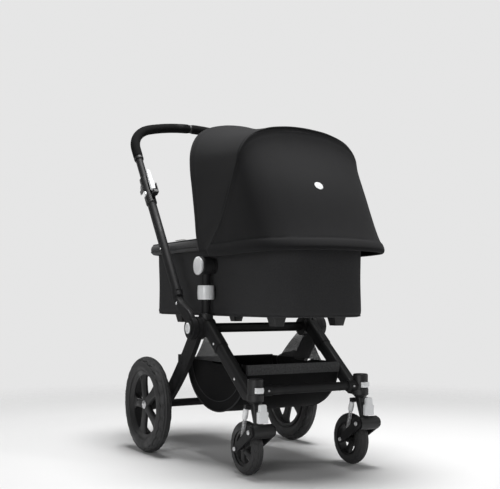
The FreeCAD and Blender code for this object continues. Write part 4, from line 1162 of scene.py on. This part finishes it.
class STROLLER_OT_basket(bpy.types.Operator):
    """Make the slung basket: bag, side panels with piping, net windows, hem and back binding"""

    bl_idname = "stroller.basket"
    bl_label = "Basket"

    def bowl(self, share, shrink=0.0):
        """A point round the basket's section, from the back edge down and up to the front."""
        turn = math.pi * share
        reach, depth = 190 - shrink, 148 - shrink
        return -20 + reach * math.cos(turn), 297 - depth * math.sin(turn)

    def execute(self, context):
        half = 155
        steps = 56
        rows = []
        for j in range(steps + 1):
            share = j / steps
            back, height = self.bowl(share)
            row = []
            for i in range(41):
                across = -1 + 2 * i / 40
                sag = 2.2 * math.sin(math.pi * share) * (1 - across ** 2)
                inwards = 5.0 * (1 - ease(0.0, 0.10, share)) * (1 - across ** 2)
                hem = 2.2 * math.sin(math.pi * min(1, (share - 0.90) / 0.10)) \
                    if share > 0.90 else 0
                point = hub(half * across, back - inwards - hem, height - sag * 0.6)
                ripple = noise.noise(Vector((point.x * 9, point.y * 10, point.z * 8)))
                row.append(point + Vector((0, -0.8, 0.3)) * ripple * 0.0015)
            rows.append(row)
        blank = Blank()
        blank.grid(rows)
        bag = thicken(blank.piece("basket_bag", "chassis", finish_of("basket"), "cot_cloth",
                                  ["basket"], sharp=80), 0.0016)
        for name, side in SIDES:
            blank = Blank()
            rings = []
            for shrink, dish in ((0, 0.0), (4, 0.6), (26, 1.8), (28, 0.9), (31, 0.9), (33, 2.0),
                                 (70, 4.0), (110, 5.5), (140, 6.0)):
                ring = []
                for j in range(steps + 1):
                    back, height = self.bowl(j / steps, shrink)
                    point = hub(side * (half - dish), back, min(height, 296.5))
                    wrinkle = noise.noise(Vector((point.y * 16, point.z * 16, side)))
                    ring.append(point + ALONG_X * side * (0.0012 * wrinkle - 0.0006))
                rings.append(ring)
            blank.grid(rings)
            flank = thicken(blank.piece(f"{name}_basket_side", "chassis", finish_of("basket"),
                                        "cot_cloth", sharp=80), 0.0014)
            blank = Blank()
            blank.pipe([hub(side * half, *self.bowl(j / steps)) for j in range(steps + 1)], 0.0022,
                       sides=8)
            blank.pipe([hub(side * (half - 1.0), *self.bowl(j / steps, 30))
                        for j in range(steps + 1)], 0.0012, sides=8)
            blank.piece(f"{name}_basket_piping", "chassis", finish_of("binding"), "cot_cloth")
            blank = Blank()
            left, right = hub(side * 155, -118, 296), hub(side * 155, 118, 296)
            window = []
            for j in range(13):
                share = j / 12
                low_edge = [left.lerp(right, i / 16) for i in range(17)]
                narrow = [hub(side * 163, -52 + 84 * i / 16, 372) for i in range(17)]
                line = []
                for low_point, high_point in zip(low_edge, narrow):
                    bow = Vector((-side * 0.003 * math.sin(math.pi * share), 0, 0))
                    line.append(low_point.lerp(high_point, share) + bow)
                window.append(line)
            blank.grid(window)
            panel = thicken(blank.piece(f"{name}_basket_gusset", "chassis", finish_of("net"),
                                        "cot_cloth", sharp=80), 0.0012)
        blank = Blank()
        line = [hub(half * (-1 + 2 * i / 40), *self.bowl(1.0)) for i in range(41)]
        band = []
        for drop, out in ((0, -0.6), (0.4, 1.6), (6, 2.8), (16, 3.0), (26, 2.2), (29.5, 0.7)):
            band.append([point + Vector((0, -out * MM, -drop * MM)) for point in line])
        blank.grid(band)
        blank.piece("basket_hem", "chassis", finish_of("rim"), "rim_cloth", sharp=70)
        blank = Blank()
        blank.pipe([hub(half * (-1 + 2 * i / 40), 170 - 5 * (1 - (-1 + 2 * i / 40) ** 2), 297)
                    for i in range(41)], 0.0024, sides=8)
        blank.piece("basket_back_binding", "chassis", finish_of("binding"), "cot_cloth")
        return {"FINISHED"}


class STROLLER_OT_stage(bpy.types.Operator):
    """Set the pale floor, the soft studio light and the camera"""

    bl_idname = "stroller.stage"
    bl_label = "Studio"

    def execute(self, context):
        scene = context.scene
        blank = Blank()
        rings = []
        for radius in (0.001, 0.3, 0.8, 1.4, 2.0, 2.8, 4.0, 6.0, 9.0):
            rings.append([Vector((radius * math.cos(math.tau * k / 64),
                                  radius * math.sin(math.tau * k / 64), 0)) for k in range(64)])
        blank.grid(rings, around=True)
        mesh = bpy.data.meshes.new("studio_floor")
        mesh.from_pydata(blank.points, [], blank.faces)
        floor = bpy.data.objects.new("studio_floor", mesh)
        scene.collection.objects.link(floor)
        material, tree, shader = start_material("floor_paper")
        place = add(tree, "ShaderNodeTexCoord").outputs["Object"]
        distance = add(tree, "ShaderNodeVectorMath", {0: place}, operation="LENGTH")
        fade = add(tree, "ShaderNodeMapRange", {"Value": distance.outputs["Value"]},
                   interpolation_type="SMOOTHSTEP")
        for label, value in (("From Min", 0.9), ("From Max", 2.6), ("To Min", 1.0),
                             ("To Max", 0.0)):
            fade.inputs[label].default_value = value
        tree.links.new(fade.outputs[0], shader.inputs["Alpha"])
        shader.inputs["Base Color"].default_value = (0.80, 0.80, 0.80, 1)
        shader.inputs["Roughness"].default_value = 0.9
        shader.inputs["Specular IOR Level"].default_value = 0.0
        mesh.materials.append(material)

        scene.view_settings.view_transform = "Standard"
        world = bpy.data.worlds.new("studio_air")
        scene.world = world
        world.use_nodes = True
        tree = world.node_tree
        backdrop = tree.nodes["Background"]
        backdrop.inputs["Strength"].default_value = 0.79
        fill = add(tree, "ShaderNodeBackground", in_Strength=0.06)
        seen = add(tree, "ShaderNodeLightPath").outputs["Is Camera Ray"]
        both = add(tree, "ShaderNodeMixShader", {0: seen, 1: fill.outputs[0],
                                                 2: backdrop.outputs[0]})
        for shade in (backdrop, fill):
            shade.inputs["Color"].default_value = (1, 1, 1, 1)
        tree.links.new(both.outputs[0], tree.nodes["World Output"].inputs[0])
        for label, place, aim, size, power in (
                ("top_softbox", (0.1, -0.1, 3.0), (0, 0, 0), 1.5, 106),
                ("front_softbox", (-2.9, -2.3, 0.9), (0, 0, 0.6), 1.6, 36),
                ("side_strip", (2.4, -1.2, 1.0), (0, 0, 0.6), 1.0, 14),
                ("back_strip", (-1.2, 2.6, 1.4), (0, 0, 0.7), 1.2, 9)):
            lamp = bpy.data.lights.new(label, "AREA")
            lamp.shape, lamp.size, lamp.energy = "DISK", size, power
            thing = bpy.data.objects.new(label, lamp)
            thing.location = place
            thing.rotation_euler = (Vector(aim) - Vector(place)).to_track_quat("-Z", "Y").to_euler()
            scene.collection.objects.link(thing)

        eye = bpy.data.cameras.new("studio_camera")
        eye.lens, eye.sensor_width, eye.shift_y = 64.74, 36, 0.1108
        camera = bpy.data.objects.new("studio_camera", eye)
        camera.location = (-1.3805, -2.3817 + HUB.y, 0.4780)
        camera.rotation_euler = (math.pi / 2, 0, math.radians(-29.617))
        scene.collection.objects.link(camera)
        scene.camera = camera
        return {"FINISHED"}


STEPS = (STROLLER_OT_frame_finish, STROLLER_OT_tyres, STROLLER_OT_rims, STROLLER_OT_hardware,
         STROLLER_OT_springs, STROLLER_OT_levers, STROLLER_OT_grips, STROLLER_OT_tub,
         STROLLER_OT_rim, STROLLER_OT_mattress, STROLLER_OT_apron, STROLLER_OT_canopy_front,
         STROLLER_OT_canopy_top, STROLLER_OT_emblem, STROLLER_OT_basket, STROLLER_OT_stage)


class STROLLER_PT_panel(bpy.types.Panel):
    """Sidebar list of the stroller's pieces, sizes and colours"""

    bl_idname = "STROLLER_PT_panel"
    bl_label = "Carrycot Stroller"
    bl_space_type = "VIEW_3D"
    bl_region_type = "UI"
    bl_category = "Stroller"

    def draw(self, context):
        for step in STEPS:
            self.layout.operator(step.bl_idname)
        for group in (context.scene.stroller_sizes, context.scene.stroller_colours):
            box = self.layout.box()
            for name in group.__annotations__:
                box.prop(group, name)


CLASSES = (StrollerSizes, StrollerColours, *STEPS, STROLLER_PT_panel)


def register():
    for item in CLASSES:
        bpy.utils.register_class(item)
    bpy.types.Scene.stroller_sizes = bpy.props.PointerProperty(type=StrollerSizes)
    bpy.types.Scene.stroller_colours = bpy.props.PointerProperty(type=StrollerColours)


def unregister():
    del bpy.types.Scene.stroller_colours
    del bpy.types.Scene.stroller_sizes
    for item in reversed(CLASSES):
        bpy.utils.unregister_class(item)


def main():
    register()
    for step in STEPS:
        group, name = step.bl_idname.split(".")
        getattr(getattr(bpy.ops, group), name)()


if __name__ == "__main__":
    main()
